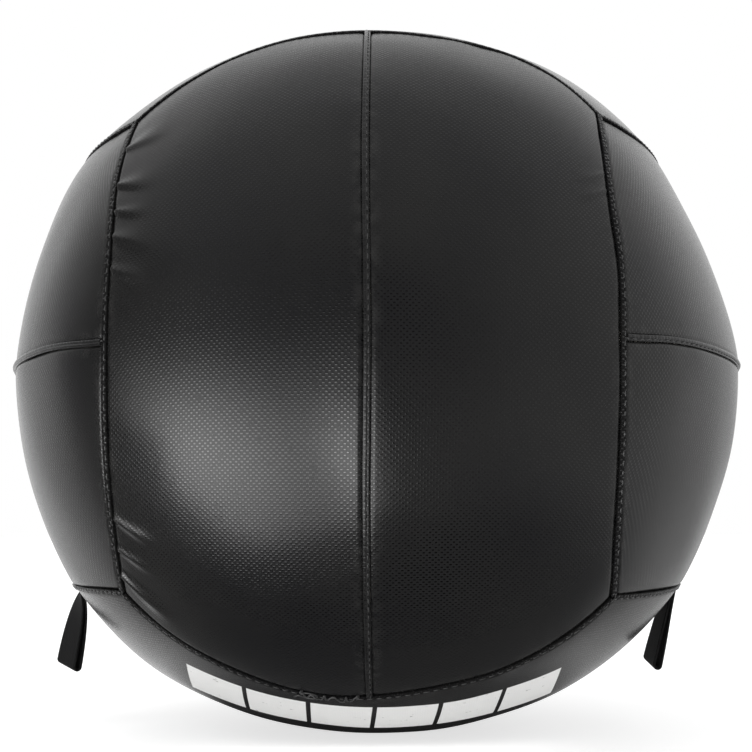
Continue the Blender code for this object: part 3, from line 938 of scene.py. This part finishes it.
def make_floor():
    """A pale floor that the eye sees as white but for the ball's shadow.

    The ball mirrors a painted shade under it, where the floor is darker and has no glow, and the room's
    sweep beyond that.
    """
    corners = FLOOR_REACH * np.array([[-1, -1, 0], [1, -1, 0], [1, 1, 0], [-1, 1, 0]])
    floor = new_piece("floor", corners, [[0, 1, 2, 3]], corners[:, :2])
    graph = start_material("floor_paper")
    rays = graph.add("ShaderNodeLightPath")
    far = graph.vectors("LENGTH", graph.space()).rise(*SHADE_REACH)
    mirrored = rays.other("Is Glossy Ray")
    # Seen in the ball, the floor loses its glow and is darker near the ball: painted shade.
    glow = (1 - mirrored) * FLOOR_GLOW
    colour = mix(graph, mirrored, (0.6, 0.6, 0.6), (0.15, 0.15, 0.15))
    sockets = {"Base Color": colour, "Roughness": 1.0, "Emission Color": (1, 1, 1, 1)}
    paper = graph.add("ShaderNodeBsdfPrincipled", {}, {**sockets, "Emission Strength": glow})
    open_air = graph.add("ShaderNodeBsdfTransparent")
    shader = graph.add("ShaderNodeMixShader", {}, {0: mirrored * far, 1: paper, 2: open_air})
    floor.data.materials.append(finish_material("floor_paper", graph, shader))


def make_lamp():
    """A soft lamp overhead, which gives the ball its shadow."""
    lamp = bpy.data.lights.new("overhead_lamp", "AREA")
    lamp.size = LAMP_SIZE
    lamp.energy = LAMP_POWER
    light = link_piece("overhead_lamp", lamp)
    light.location = LAMP_PLACE
    light.rotation_euler = (Vector(CENTRE) - light.location).to_track_quat("-Z", "Y").to_euler()
    light.visible_glossy = False
    light.visible_camera = False


# The ball's cover


def make_panel(face, half, side, number, material):
    """One strip of the cover, with the looks of sewn, stuffed cloth."""
    u, v = strip_grid(face, half, SKIN_GAP, PANEL_CELLS, CELL_CROWD)
    direction = strip_direction(face, half, u, v)
    round_skin = skin_point(direction, 0)
    across, along = lengths(round_skin, 0), lengths(round_skin, 1)
    depth = hollow(u, v) + SWELL_DEPTH * swell(round_skin, SWELL_STEP, number)
    away_from_seams = [
        (across, along),
        (across[-1:] - across, along),
        (along, across),
        (along[:, -1:] - along, across),
    ]
    for k, (away, beside) in enumerate(away_from_seams):
        depth = depth + ROLL_DEPTH * np.clip(1 - away / ROLL_WIDTH, 0, 1) ** 2
        depth = depth + PULL_DEPTH * np.exp(-away / PULL_REACH)
        depth = depth + puckers(away, beside, 40 * number + 10 * k)
    if face == "front":
        depth = depth - tucks(side, *away_from_seams[1])
    outer = cover_point(direction, depth)
    if face == "base":
        outer = rest_on_ground(outer)
    inner = outer + unit(CENTRE - outer) * PANEL_THICK
    middle = along.shape[1] // 2
    cloth = np.stack([across, along - along[:, middle : middle + 1] + CLOTH_MIDDLE], axis=-1)
    panel = new_slab(f"{face}_{side}_vinyl", outer, inner, cloth)
    nearest = np.min([away for away, _ in away_from_seams], axis=0)
    seam = panel.data.attributes.new("seam", "FLOAT", "POINT")
    seam.data.foreach_set("value", np.stack([nearest, nearest]).astype(np.float32).ravel())
    dress(panel, material, "vinyl", "ball", f"{face}_{side}_panel")


def make_foam_pad(face, half, side, number, material):
    """The foam behind one strip of the cover."""
    u, v = strip_grid(face, half, FOAM_MARGIN, FOAM_CELLS, 0)
    direction = strip_direction(face, half, u, v)
    base = skin_point(direction, 0)
    dents = 0.0001 * (1 + swell(base, 0.02, number))
    outer = cover_point(direction, FOAM_DEPTH + hollow(u, v) + dents)
    if face == "base":
        outer[..., 2] = np.maximum(outer[..., 2], FOAM_DEPTH)
    thick = FOAM_THICK - 0.0003 * swell(base, 0.012, number + 50)
    inner = outer + unit(CENTRE - outer) * thick[..., None]
    cloth = np.stack([lengths(base, 0), lengths(base, 1)], axis=-1)
    pad = new_slab(f"{face}_{side}_foam_pad", outer, inner, cloth)
    dress(pad, material, "foam", "ball", f"{face}_{side}_foam")


def start_tree(name, inputs):
    """A geometry tree with named inputs: each has a socket type and a value."""
    tree = bpy.data.node_groups.new(name, "GeometryNodeTree")
    tree.interface.new_socket("Geometry", in_out="INPUT", socket_type="NodeSocketGeometry")
    tree.interface.new_socket("Geometry", in_out="OUTPUT", socket_type="NodeSocketGeometry")
    for label, kind in inputs.items():
        tree.interface.new_socket(label, in_out="INPUT", socket_type=f"NodeSocket{kind}")
    graph = Graph(tree)
    return graph, graph.add("NodeGroupInput", out="Geometry")


def finish_tree(graph, mesh, made):
    """Gives what a geometry tree made its material, and closes the tree."""
    made = graph.add("GeometryNodeRealizeInstances", {}, {"Geometry": made})
    made = graph.add("GeometryNodeSetShadeSmooth", {}, {"Geometry": made})
    made = graph.add("GeometryNodeSetMaterial", {}, {"Geometry": made, "Material": mesh.other("Material")})
    graph.add("NodeGroupOutput", {}, {"Geometry": made}, out=None)
    return graph.tree


def shifted(graph, geometry, **sockets):
    """Moves points by an Offset, or to a Position."""
    return graph.add("GeometryNodeSetPosition", {}, {"Geometry": geometry, **sockets})


def kept(graph, geometry, name, value, kind="FLOAT", domain="POINT"):
    """Keeps a value on a geometry under a name."""
    settings = {"data_type": kind, "domain": domain}
    sockets = {"Geometry": geometry, "Name": name, "Value": value}
    return graph.add("GeometryNodeStoreNamedAttribute", settings, sockets)


def read(graph, name):
    """A number that was kept under a name."""
    return graph.add("GeometryNodeInputNamedAttribute", {"data_type": "FLOAT"}, {"Name": name})


def grow(name, lines, tree, values):
    """Runs a geometry tree on lines of points, and keeps the mesh it makes."""
    mesh = bpy.data.meshes.new(name)
    points, edges = [], []
    for line in lines:
        edges += [(len(points) + k, len(points) + k + 1) for k in range(len(line) - 1)]
        points += line.tolist()
    mesh.from_pydata(points, edges, [])
    seed = link_piece(f"{name}_line", mesh)
    modifier = seed.modifiers.new("grow", "NODES")
    modifier.node_group = tree
    for item in tree.interface.items_tree:
        if item.in_out == "INPUT" and item.name in values:
            modifier[item.identifier] = values[item.name]
    seed.update_tag()
    depsgraph = bpy.context.evaluated_depsgraph_get()
    grown = bpy.data.meshes.new_from_object(seed.evaluated_get(depsgraph), depsgraph=depsgraph)
    bpy.data.objects.remove(seed)
    grown.name = name
    return link_piece(name, grown)


def outward(graph):
    """The position at hand, and the way from the ball's centre to it."""
    place = graph.add("GeometryNodeInputPosition")
    return place, graph.vectors("NORMALIZE", graph.vectors("SUBTRACT", place, tuple(CENTRE)))


def seam_curve(graph, mesh, pitch):
    """The curve along a seam, in equal steps, whose normals point away from the ball's centre."""
    _, out = outward(graph)
    curve = graph.add("GeometryNodeMeshToCurve", {}, {"Mesh": mesh})
    curve = graph.add("GeometryNodeResampleCurve", {"mode": "LENGTH"}, {"Curve": curve, "Length": pitch})
    return graph.add("GeometryNodeSetCurveNormal", {"mode": "FREE"}, {"Curve": curve, "Normal": out})


def welt_ring(graph, mesh, inputs):
    """The section of a welt, and the height and the way round of each of its points."""
    half, crown, strip, thick, side = inputs
    ring = graph.add("GeometryNodeCurvePrimitiveCircle", {}, {"Resolution": mesh.other("Round")})
    turn = graph.add("GeometryNodeSplineParameter", out="Factor") * (2 * math.pi)
    level = turn.cosine()
    upright = turn.sine()
    lie = level * side
    profile = crown + (strip - crown) * lie.rise(-0.05, 0.32)
    groove = lie.rise(0.12, 0.30) * (1 - lie.rise(0.42, 0.62))
    top = profile * (1 - groove * 0.75) * upright.most(0) ** 0.5
    height = top - thick * upright.least(0).size() ** 0.4
    spot = graph.add("ShaderNodeCombineXYZ", {}, {0: height, 1: level * half})
    ring = shifted(graph, ring, Position=spot)
    ring = kept(graph, ring, "height", height)
    return kept(graph, ring, "round", turn * half * 0.8)


def welt_tree():
    """A welt: one side is a folded ridge, the other a low strip, with a groove for stitches between."""
    sizes = ("Half Width", "Crown", "Strip", "Depth", "Ridge Side", "Cell", "Wander", "Lumps")
    inputs = {**dict.fromkeys(sizes, "Float"), "Round": "Int", "Material": "Material"}
    graph, mesh = start_tree("welt", inputs)
    curve = seam_curve(graph, mesh, mesh.other("Cell"))
    place = graph.add("GeometryNodeInputPosition")
    drift = graph.vectors("SUBTRACT", noise(graph, place, 45, 1).other("Color"), (0.5, 0.5, 0.5))
    drift = graph.vectors("SCALE", drift, Scale=mesh.other("Wander"))
    curve = shifted(graph, curve, Offset=drift)
    curve = kept(graph, curve, "run", graph.add("GeometryNodeSplineParameter", out="Length"))
    ring = welt_ring(graph, mesh, [mesh.other(label) for label in sizes[:5]])
    sockets = {"Curve": curve, "Profile Curve": ring, "Fill Caps": True}
    welt = graph.add("GeometryNodeCurveToMesh", {}, sockets)

    place, out = outward(graph)
    lumps = (noise(graph, place, 420) - 0.5) * mesh.other("Lumps")
    welt = shifted(graph, welt, Offset=graph.vectors("SCALE", out, Scale=lumps))
    spot = graph.add("ShaderNodeSeparateXYZ", {}, {0: graph.add("GeometryNodeInputPosition")})
    lowest = mesh.other("Crown") - read(graph, "height") + GAP
    raised = {0: spot, 1: spot.other(1), 2: spot.other(2).most(lowest)}
    welt = shifted(graph, welt, Position=graph.add("ShaderNodeCombineXYZ", {}, raised))
    flat = graph.add("ShaderNodeCombineXYZ", {}, {0: read(graph, "round"), 1: read(graph, "run")})
    welt = kept(graph, welt, "UVMap", flat, "FLOAT2", "CORNER")
    return finish_tree(graph, mesh, welt)


def stitch_tree():
    """Running stitches along seams, each a short thread that dips into the cloth at its ends."""
    sizes = ("Pitch", "Half Length", "Radius", "Aside", "Height", "Lowest")
    inputs = {**dict.fromkeys(sizes, "Float"), "Seed": "Int", "Material": "Material"}
    graph, mesh = start_tree("stitches", inputs)
    curve = seam_curve(graph, mesh, mesh.other("Pitch"))
    points = graph.add("GeometryNodeCurveToPoints", {"mode": "EVALUATED"}, {"Curve": curve})
    normal = points.other("Normal")
    aside = graph.vectors("CROSS_PRODUCT", points.other("Tangent"), normal)
    aside = graph.vectors("SCALE", aside, Scale=mesh.other("Aside"))
    up = graph.vectors("SCALE", normal, Scale=mesh.other("Height"))
    moved = shifted(graph, points, Offset=graph.vectors("ADD", aside, up))
    bead_sizes = {"Segments": 6, "Rings": 5, "Radius": mesh.other("Radius")}
    bead = graph.add("GeometryNodeMeshUVSphere", {}, bead_sizes)
    spread = {2: 0.85, 3: 1.15, "Seed": mesh.other("Seed")}
    stretch = graph.add("FunctionNodeRandomValue", {"data_type": "FLOAT"}, spread, out=1)
    long = mesh.other("Half Length") / mesh.other("Radius") * stretch
    height = graph.add("ShaderNodeSeparateXYZ", {}, {0: graph.add("GeometryNodeInputPosition")}, out="Z")
    sockets = {
        "Points": moved,
        "Selection": height.above(mesh.other("Lowest")),
        "Instance": bead,
        "Rotation": points.other("Rotation"),
        "Scale": graph.add("ShaderNodeCombineXYZ", {}, {0: 1.0, 1: 1.0, 2: long}),
    }
    return finish_tree(graph, mesh, graph.add("GeometryNodeInstanceOnPoints", {}, sockets))


def seam_lines():
    """The line of each welt on the round skin, by the name of its solid."""
    lines = {}
    half_length = BALL_RADIUS * math.acos(SEAM_MIDDLE)
    for face in FACES:
        end = 1 - (LOOP_CLEAR if face == "base" else SEAM_GAP) / half_length
        lines[f"{face}_centre_welt"] = centre_line(face, np.linspace(-end, end, SEAM_POINTS[0]))
    half_length = BALL_RADIUS * QUARTER * math.sqrt(1 - SEAM_MIDDLE**2)
    end = 1 - WELT_END / half_length
    slot = LOOP_SLOT / half_length
    for face, (_, _, _, names) in FACES.items():
        for half, side in zip((-1, 1), names):
            parts = {"": (-end, end)}
            if side == "lower":
                parts = {"_front": (-end, -slot), "_back": (slot, end)}
            for part, (start, stop) in parts.items():
                t = np.linspace(start, stop, SEAM_POINTS[1] // len(parts))
                lines[f"{face}_{side}{part}_welt"] = long_side(face, half, t)
    return {name: cover_point(nudged(line), 0) for name, line in lines.items()}


def make_sewing(vinyl, seam_shade_vinyl, thread):
    """The welts, and the running stitches in their grooves."""
    lines = seam_lines()
    tree = welt_tree()
    for node, line in lines.items():
        # Side welts get a copy of the vinyl that reflects less: painted shade for their seams.
        cover, crown = (vinyl, WELT_CROWN) if "centre" in node else (seam_shade_vinyl, SIDE_CROWN)
        side = -1.0 if node == "left_centre_welt" else 1.0
        values = {**WELT_SIZES, "Ridge Side": side, "Crown": crown, "Material": cover}
        welt = grow(node.replace("welt", "seam"), [line], tree, values)
        dress(welt, cover, "welt", "ball", node)
    values = {**STITCH_SIZES, "Material": thread}
    stitches = grow("seam_stitches", lines.values(), stitch_tree(), values)
    dress(stitches, thread, "thread", "ball")


# The hang loops


def loop_path(count):
    """The middle line of the folded webbing, seen from the front, and the ways across its thickness."""
    fold = LOOP_EYE / 2 + WEB_THICK / 2
    start = 0.0030  # above the hinge line, in the seam
    shut = 0.004  # below the hinge line, where the two layers part
    leg = LOOP_LENGTH - WEB_THICK / 2 - fold
    down = np.linspace(-start, leg, count)
    share = np.clip((down - shut) / (leg - shut), 0, 1)
    wide = WEB_THICK / 2 + (fold - WEB_THICK / 2) * np.sin(math.pi / 2 * share) ** 2
    turn = np.linspace(0, math.pi, count // 3)[1:-1]
    x = np.concatenate([-wide, -fold * np.cos(turn), wide[::-1]])
    z = -np.concatenate([down, leg + fold * np.sin(turn), down[::-1]])
    line = np.stack([x, z], axis=-1)
    ahead = unit(np.gradient(line, axis=0))
    return line, np.stack([-ahead[:, 1], ahead[:, 0]], axis=-1)


def make_loop(side, material):
    """The free part of a hang loop, which turns and leans as it hangs."""
    foot = seam_middle(side)
    hinge = foot + unit(foot - CENTRE) * LOOP_RISE
    line, thick_way = loop_path(LOOP_CELLS[0])
    share = np.linspace(-1, 1, LOOP_CELLS[1] + 1)
    width = np.sin(share * math.pi / 2) * WEB_WIDTH / 2
    thick = WEB_THICK / 2 * (0.25 + 0.75 * (1 - np.abs(share) ** 8) ** 0.5)
    layers = []
    for way in (1, -1):
        flat = line[:, None, :] + thick_way[:, None, :] * thick[None, :, None] * way
        x, z = flat[..., 0], flat[..., 1]
        y = np.broadcast_to(width, x.shape)
        down = np.clip(-z / LOOP_LENGTH, 0, 1)
        turn = LOOP_TWIST[side] * (1 - np.exp(-down / TWIST_EASE[side]))
        z = z + y * LOOP_DIP[side] * down**2
        x, y = x * np.cos(turn) - y * np.sin(turn), x * np.sin(turn) + y * np.cos(turn)
        lean = LOOP_LEAN[side]
        x, z = x * math.cos(lean) + z * math.sin(lean), -x * math.sin(lean) + z * math.cos(lean)
        layers.append(np.stack([x, y, z], axis=-1) + hinge)
    cloth = np.stack(np.broadcast_arrays(width + 0.05, lengths(line, 0)[:, None]), axis=-1)
    loop = new_slab(f"{side}_loop_webbing", layers[0], layers[1], cloth)
    dress(loop, material, "webbing", None, f"{side}_hang_loop")
    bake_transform(loop)


def make_loop_tail(side, material):
    """The two layers of a hang loop's webbing that are sewn in behind the seam."""
    foot = seam_middle(side)
    inward = unit(CENTRE - foot)
    thick_way = np.cross(Y, inward)
    turn = np.linspace(0, 2 * math.pi, 40, endpoint=False)
    level = np.sign(np.cos(turn)) * np.abs(np.cos(turn)) ** 0.35 * WEB_WIDTH / 2
    upright = np.sign(np.sin(turn)) * np.abs(np.sin(turn)) ** 0.6 * (TAIL_THICK / 4 - 0.00005)
    section = Y * level[:, None] + thick_way * upright[:, None]
    layers = []
    for way in (-1, 1):
        down = np.linspace(GAP, GAP + TAIL_LENGTH, 12)
        ripple = np.sin(down * 900 + way)[:, None, None] * 0.00003
        middle = foot + inward * down[:, None] + thick_way * way * TAIL_THICK / 4
        layers.append(middle[:, None, :] + section[None] + thick_way * ripple)
    tail = new_bars(f"{side}_loop_tail_webbing", layers)
    dress(tail, material, "webbing", "ball", f"{side}_loop_tail")


def make_closing_thread(material):
    """One thread whipped over the seam by hand, with a knot at each end."""
    whips = np.linspace(0, CLOSING_COUNT, 24 * CLOSING_COUNT + 1)
    uneven = waver(whips, 0.9, 71)
    along = CLOSING_START + (CLOSING_END - CLOSING_START) * (whips + 0.30 * uneven) / CLOSING_COUNT
    place = cover_point(nudged(long_side("base", -1, along)), 0)
    out = unit(place - CENTRE)
    aside = unit(np.cross(out, X))
    swing = np.cos(whips * 2 * math.pi)
    over = SIDE_CROWN + CLOSING_RADIUS + 0.0003
    height = CLOSING_RADIUS + 0.0001 + (over - CLOSING_RADIUS) * (1 - np.abs(swing) ** 2.2)
    reach = CLOSING_REACH * (1 + 0.45 * uneven)
    thread_line = place + aside * (swing * reach)[:, None] + out * height[:, None]
    tail = np.array(CLOSING_TAIL)
    tail_way = unit(place[0] + X * tail[:, :1] + aside[0] * tail[:, 1:] - CENTRE)
    tail_line = smooth_line(cover_point(tail_way, -CLOSING_RADIUS), 90)
    parts = [thread_rings(line, CLOSING_RADIUS, 8, 2, CLOSING_LAY) for line in (thread_line, tail_line)]
    for end, step in ((0, 1), (-1, -1)):
        way = unit(thread_line[end] - thread_line[end + 6 * step])
        turn = np.linspace(0, 3.5 * math.pi, 50)[:, None]
        loops = 0.0007 * (aside[end] * np.cos(turn) + out[end] * np.sin(turn))
        loops = loops + 0.0003 * X * np.sin(turn * 1.5) + 0.0001 * way * turn
        knot = thread_line[end] + loops
        parts.append(thread_rings(knot, CLOSING_RADIUS, 8))
    stitches = new_bars("closing_thread", parts)
    dress(stitches, material, "thread", "ball", "closing_stitches")


# The filling


def make_liner(material):
    """The cloth bag under the foam, with the slit that it is filled through."""
    bm = bmesh.new()
    turns, rings = LINER_CELLS
    bmesh.ops.create_uvsphere(bm, u_segments=turns, v_segments=rings, radius=1, calc_uvs=True)
    direction = unit(np.array([vert.co for vert in bm.verts]))
    round_skin = skin_point(direction, 0)
    slit = seam_middle("base", LINER_DEPTH)
    gathered = np.exp(-np.sum((round_skin - slit) ** 2, axis=-1) / SLIT_GATHER**2)
    folds = 0.0002 * swell(round_skin, 0.03, 7) + 0.0005 * gathered * np.sin(direction[:, 0] * 110)
    places = skin_point(direction, LINER_DEPTH + np.abs(folds))
    places[:, 2] = np.maximum(places[:, 2], LINER_DEPTH)
    for vert, place in zip(bm.verts, places):
        vert.co = place
    upward = unit(slit - CENTRE)
    beside = np.cross(X, upward)
    doomed = []
    for face in bm.faces:
        off = np.array(face.calc_center_median()) - slit
        if math.hypot(off @ X / SLIT_HALF[0], off @ beside / SLIT_HALF[1]) < 1 and off @ upward > -0.05:
            doomed.append(face)
    bmesh.ops.delete(bm, geom=doomed, context="FACES")
    made = bmesh.ops.extrude_face_region(bm, geom=bm.faces[:], use_keep_orig=True)
    for item in made["geom"]:
        if isinstance(item, bmesh.types.BMVert):
            item.co += (Vector(CENTRE) - item.co).normalized() * LINER_THICK
    bmesh.ops.recalc_face_normals(bm, faces=bm.faces[:])
    layer = bm.loops.layers.uv.verify()
    for face in bm.faces:
        for corner in face.loops:
            corner[layer].uv = (corner[layer].uv.x * 1.05, corner[layer].uv.y * 0.53)
    mesh = bpy.data.meshes.new("canvas_liner")
    bm.to_mesh(mesh)
    bm.free()
    mesh.uv_layers[0].name = "UVMap"
    mesh.shade_smooth()
    dress(link_piece("canvas_liner", mesh), material, "canvas", "ball", "liner_bag")


def make_stuffing(material):
    """Shredded cloth, packed in two halves round the weight bag."""
    pocket = BAG_RADIUS + POCKET_GAP
    neck = NECK_RADIUS + 2 * TIE_RADIUS + POCKET_GAP
    roof = NECK_TOP + POCKET_GAP
    foot = TIE_HEIGHT - POCKET_GAP
    crown = arc(STUFFING_REACH, 0, 89.3, 60)
    throat = arc((pocket, pocket), NECK_ARC, 0, 24)
    passage = [
        [(0.001, roof)],
        straight((0.001, roof), (neck, roof), 5),
        [(neck, roof)],
        straight((neck, roof), (neck, foot), 6),
        [(neck, foot)],
        throat,
    ]
    split = straight((pocket, 0), (STUFFING_REACH[0], 0), 24)
    upper = np.concatenate([*passage, split, crown])
    lower = np.concatenate([arc((pocket, pocket), 89.3, 0, 34), split, crown])
    for name, profile, sign in (("upper", upper, 1), ("lower", lower, -1)):
        rings = turned_rings(profile * (1, sign) + (0, GAP * sign), STUFFING_TURNS)
        lumps = 0.0009 * swell(rings, 0.016, 11) + 0.0005 * swell(rings, 0.006, 12)
        away = np.linalg.norm(rings - CENTRE, axis=-1)
        share = np.clip((away - pocket) / 0.02, 0, 1)
        share = share * np.clip(np.abs(rings[..., 2] - CENTRE[2]) / 0.006, 0, 1)
        rings = rings - unit(rings - CENTRE) * (share * np.abs(lumps))[..., None]
        stuffing = new_bars(f"shredded_stuffing_{name}", [rings])
        dress(stuffing, material, "stuffing", "ball", f"stuffing_{name}")


def gather(rings):
    """Pleats the rings of the weight bag, more so towards its neck."""
    offset = rings - CENTRE
    angle = np.arctan2(offset[..., 1], offset[..., 0])
    height = offset[..., 2]
    share = np.clip((height - PLEAT_FOOT) / (TIE_HEIGHT - PLEAT_FOOT), 0, 1) ** 2
    radius = np.hypot(offset[..., 0], offset[..., 1])
    fold = np.abs(np.sin(PLEATS / 2 * angle + 2 * np.sin(angle))) ** 0.7
    pull = np.minimum(PLEAT_DEPTH * share * (1 - fold), radius * 0.35)
    flat = offset * (1, 1, 0)
    return rings - flat / np.maximum(radius, 1e-6)[..., None] * pull[..., None]


def make_weight_bag(sacking, grit, cord):
    """The bag of grit at the centre, its filling, and the cord round its neck."""
    shell = arc((BAG_RADIUS, BAG_RADIUS), -89, NECK_ARC, 70)
    low, high = TIE_HEIGHT - 2 * TIE_RADIUS, TIE_HEIGHT + TIE_RADIUS
    collar, brim = (NECK_RADIUS, high), (NECK_RADIUS + NECK_FLARE, NECK_TOP)
    throat = np.concatenate([
        [(NECK_RADIUS, low)],
        straight((NECK_RADIUS, low), collar, 5),
        [collar],
        straight(collar, brim, 8),
        [brim],
    ])
    bridge = straight(shell[-1], throat[0], 6)
    inner = BAG_RADIUS - BAG_THICK
    inside = arc((inner, inner), -89, NECK_ARC, 70)
    mouth = throat - (BAG_THICK, 0)
    inner_bridge = straight(inside[-1], mouth[0], 6)
    inside_up = np.concatenate([inside, inner_bridge, mouth])
    profile = np.concatenate([shell, bridge, throat, inside_up[::-1]])
    bag = new_bars("sackcloth_weight_bag", [gather(turned_rings(profile, BAG_TURNS))])
    dress(bag, sacking, "sacking", "ball", "weight_bag")

    fill = inner - 2 * GAP
    heap = arc((fill, fill), -89, NECK_ARC - 12, 70)
    top = straight(heap[-1], (0.0005, heap[-1][1] + 0.004), 20)
    rings = turned_rings(np.concatenate([heap, top]), BAG_TURNS)
    rough = 0.0006 * (1 + swell(rings, 0.004, 21)) / 2 + 0.0003
    rings = gather(rings) - unit(rings - CENTRE) * np.clip(rough, 0, 0.001)[..., None]
    dress(new_bars("grit_fill", [rings]), grit, "grit", "ball", "weight_fill")

    turn = np.linspace(0, 4.3 * math.pi, 420)
    reach = NECK_RADIUS + CORD_RADIUS + GAP
    rise = TIE_HEIGHT - CORD_RADIUS + 2 * CORD_RADIUS * np.clip(turn / (4 * math.pi), 0, 1)
    wraps = CENTRE + np.stack([reach * np.cos(turn), reach * np.sin(turn), rise], axis=-1)
    foot = CENTRE + np.array([reach + 0.0018, 0, TIE_HEIGHT])
    knot = smooth_line(foot + np.array(KNOT), 60)
    parts = [thread_rings(line, CORD_RADIUS, 12, 3, CORD_LAY) for line in (wraps, knot)]
    dress(new_bars("tied_cord", parts), cord, "cord", "ball", "weight_bag_tie")


make_camera()
make_world()
make_floor()
make_lamp()

vinyl = make_vinyl("black_vinyl", 0.25)
welt_vinyl = make_vinyl("welt_vinyl", 0.12, crumple=0.5)
# A copy of the vinyl whose ground reflects far less: painted shade for the side seams.
seam_shade_vinyl = make_vinyl("sunk_welt_vinyl", 0.05, crumple=2.6, shine=(1.08, 1.50), fade=0)
printed_vinyl = make_vinyl("printed_vinyl", 0.25, printed=True)
webbing = make_webbing("black_webbing")
thread = make_thread("black_thread")
foam = make_foam("grey_foam")
canvas = make_cloth("liner_canvas", (0.60, 0.57, 0.49), (0.42, 0.39, 0.32), (0.0007, 0.0007), 0.00012)
sacking = make_cloth("sackcloth", (0.56, 0.49, 0.35), (0.30, 0.25, 0.16), (0.0013, 0.0013), 0.0003)
shreds = make_stuffing_material("cloth_shreds")
grit = make_grit("weight_grit")
cotton = make_cord("cotton_cord")

strips = [(face, half, side) for face, parts in FACES.items() for half, side in zip((-1, 1), parts[3])]
for number, (face, half, side) in enumerate(strips):
    cover = printed_vinyl if (face, side) == ("base", "front") else vinyl
    make_panel(face, half, side, number, cover)
    make_foam_pad(face, half, side, number, foam)
make_sewing(welt_vinyl, seam_shade_vinyl, thread)
make_closing_thread(thread)
for side in ("left", "right"):
    make_loop(side, webbing)
    make_loop_tail(side, webbing)
make_liner(canvas)
make_stuffing(shreds)
make_weight_bag(sacking, grit, cotton)

bpy.context.scene.view_settings.view_transform = "Standard"
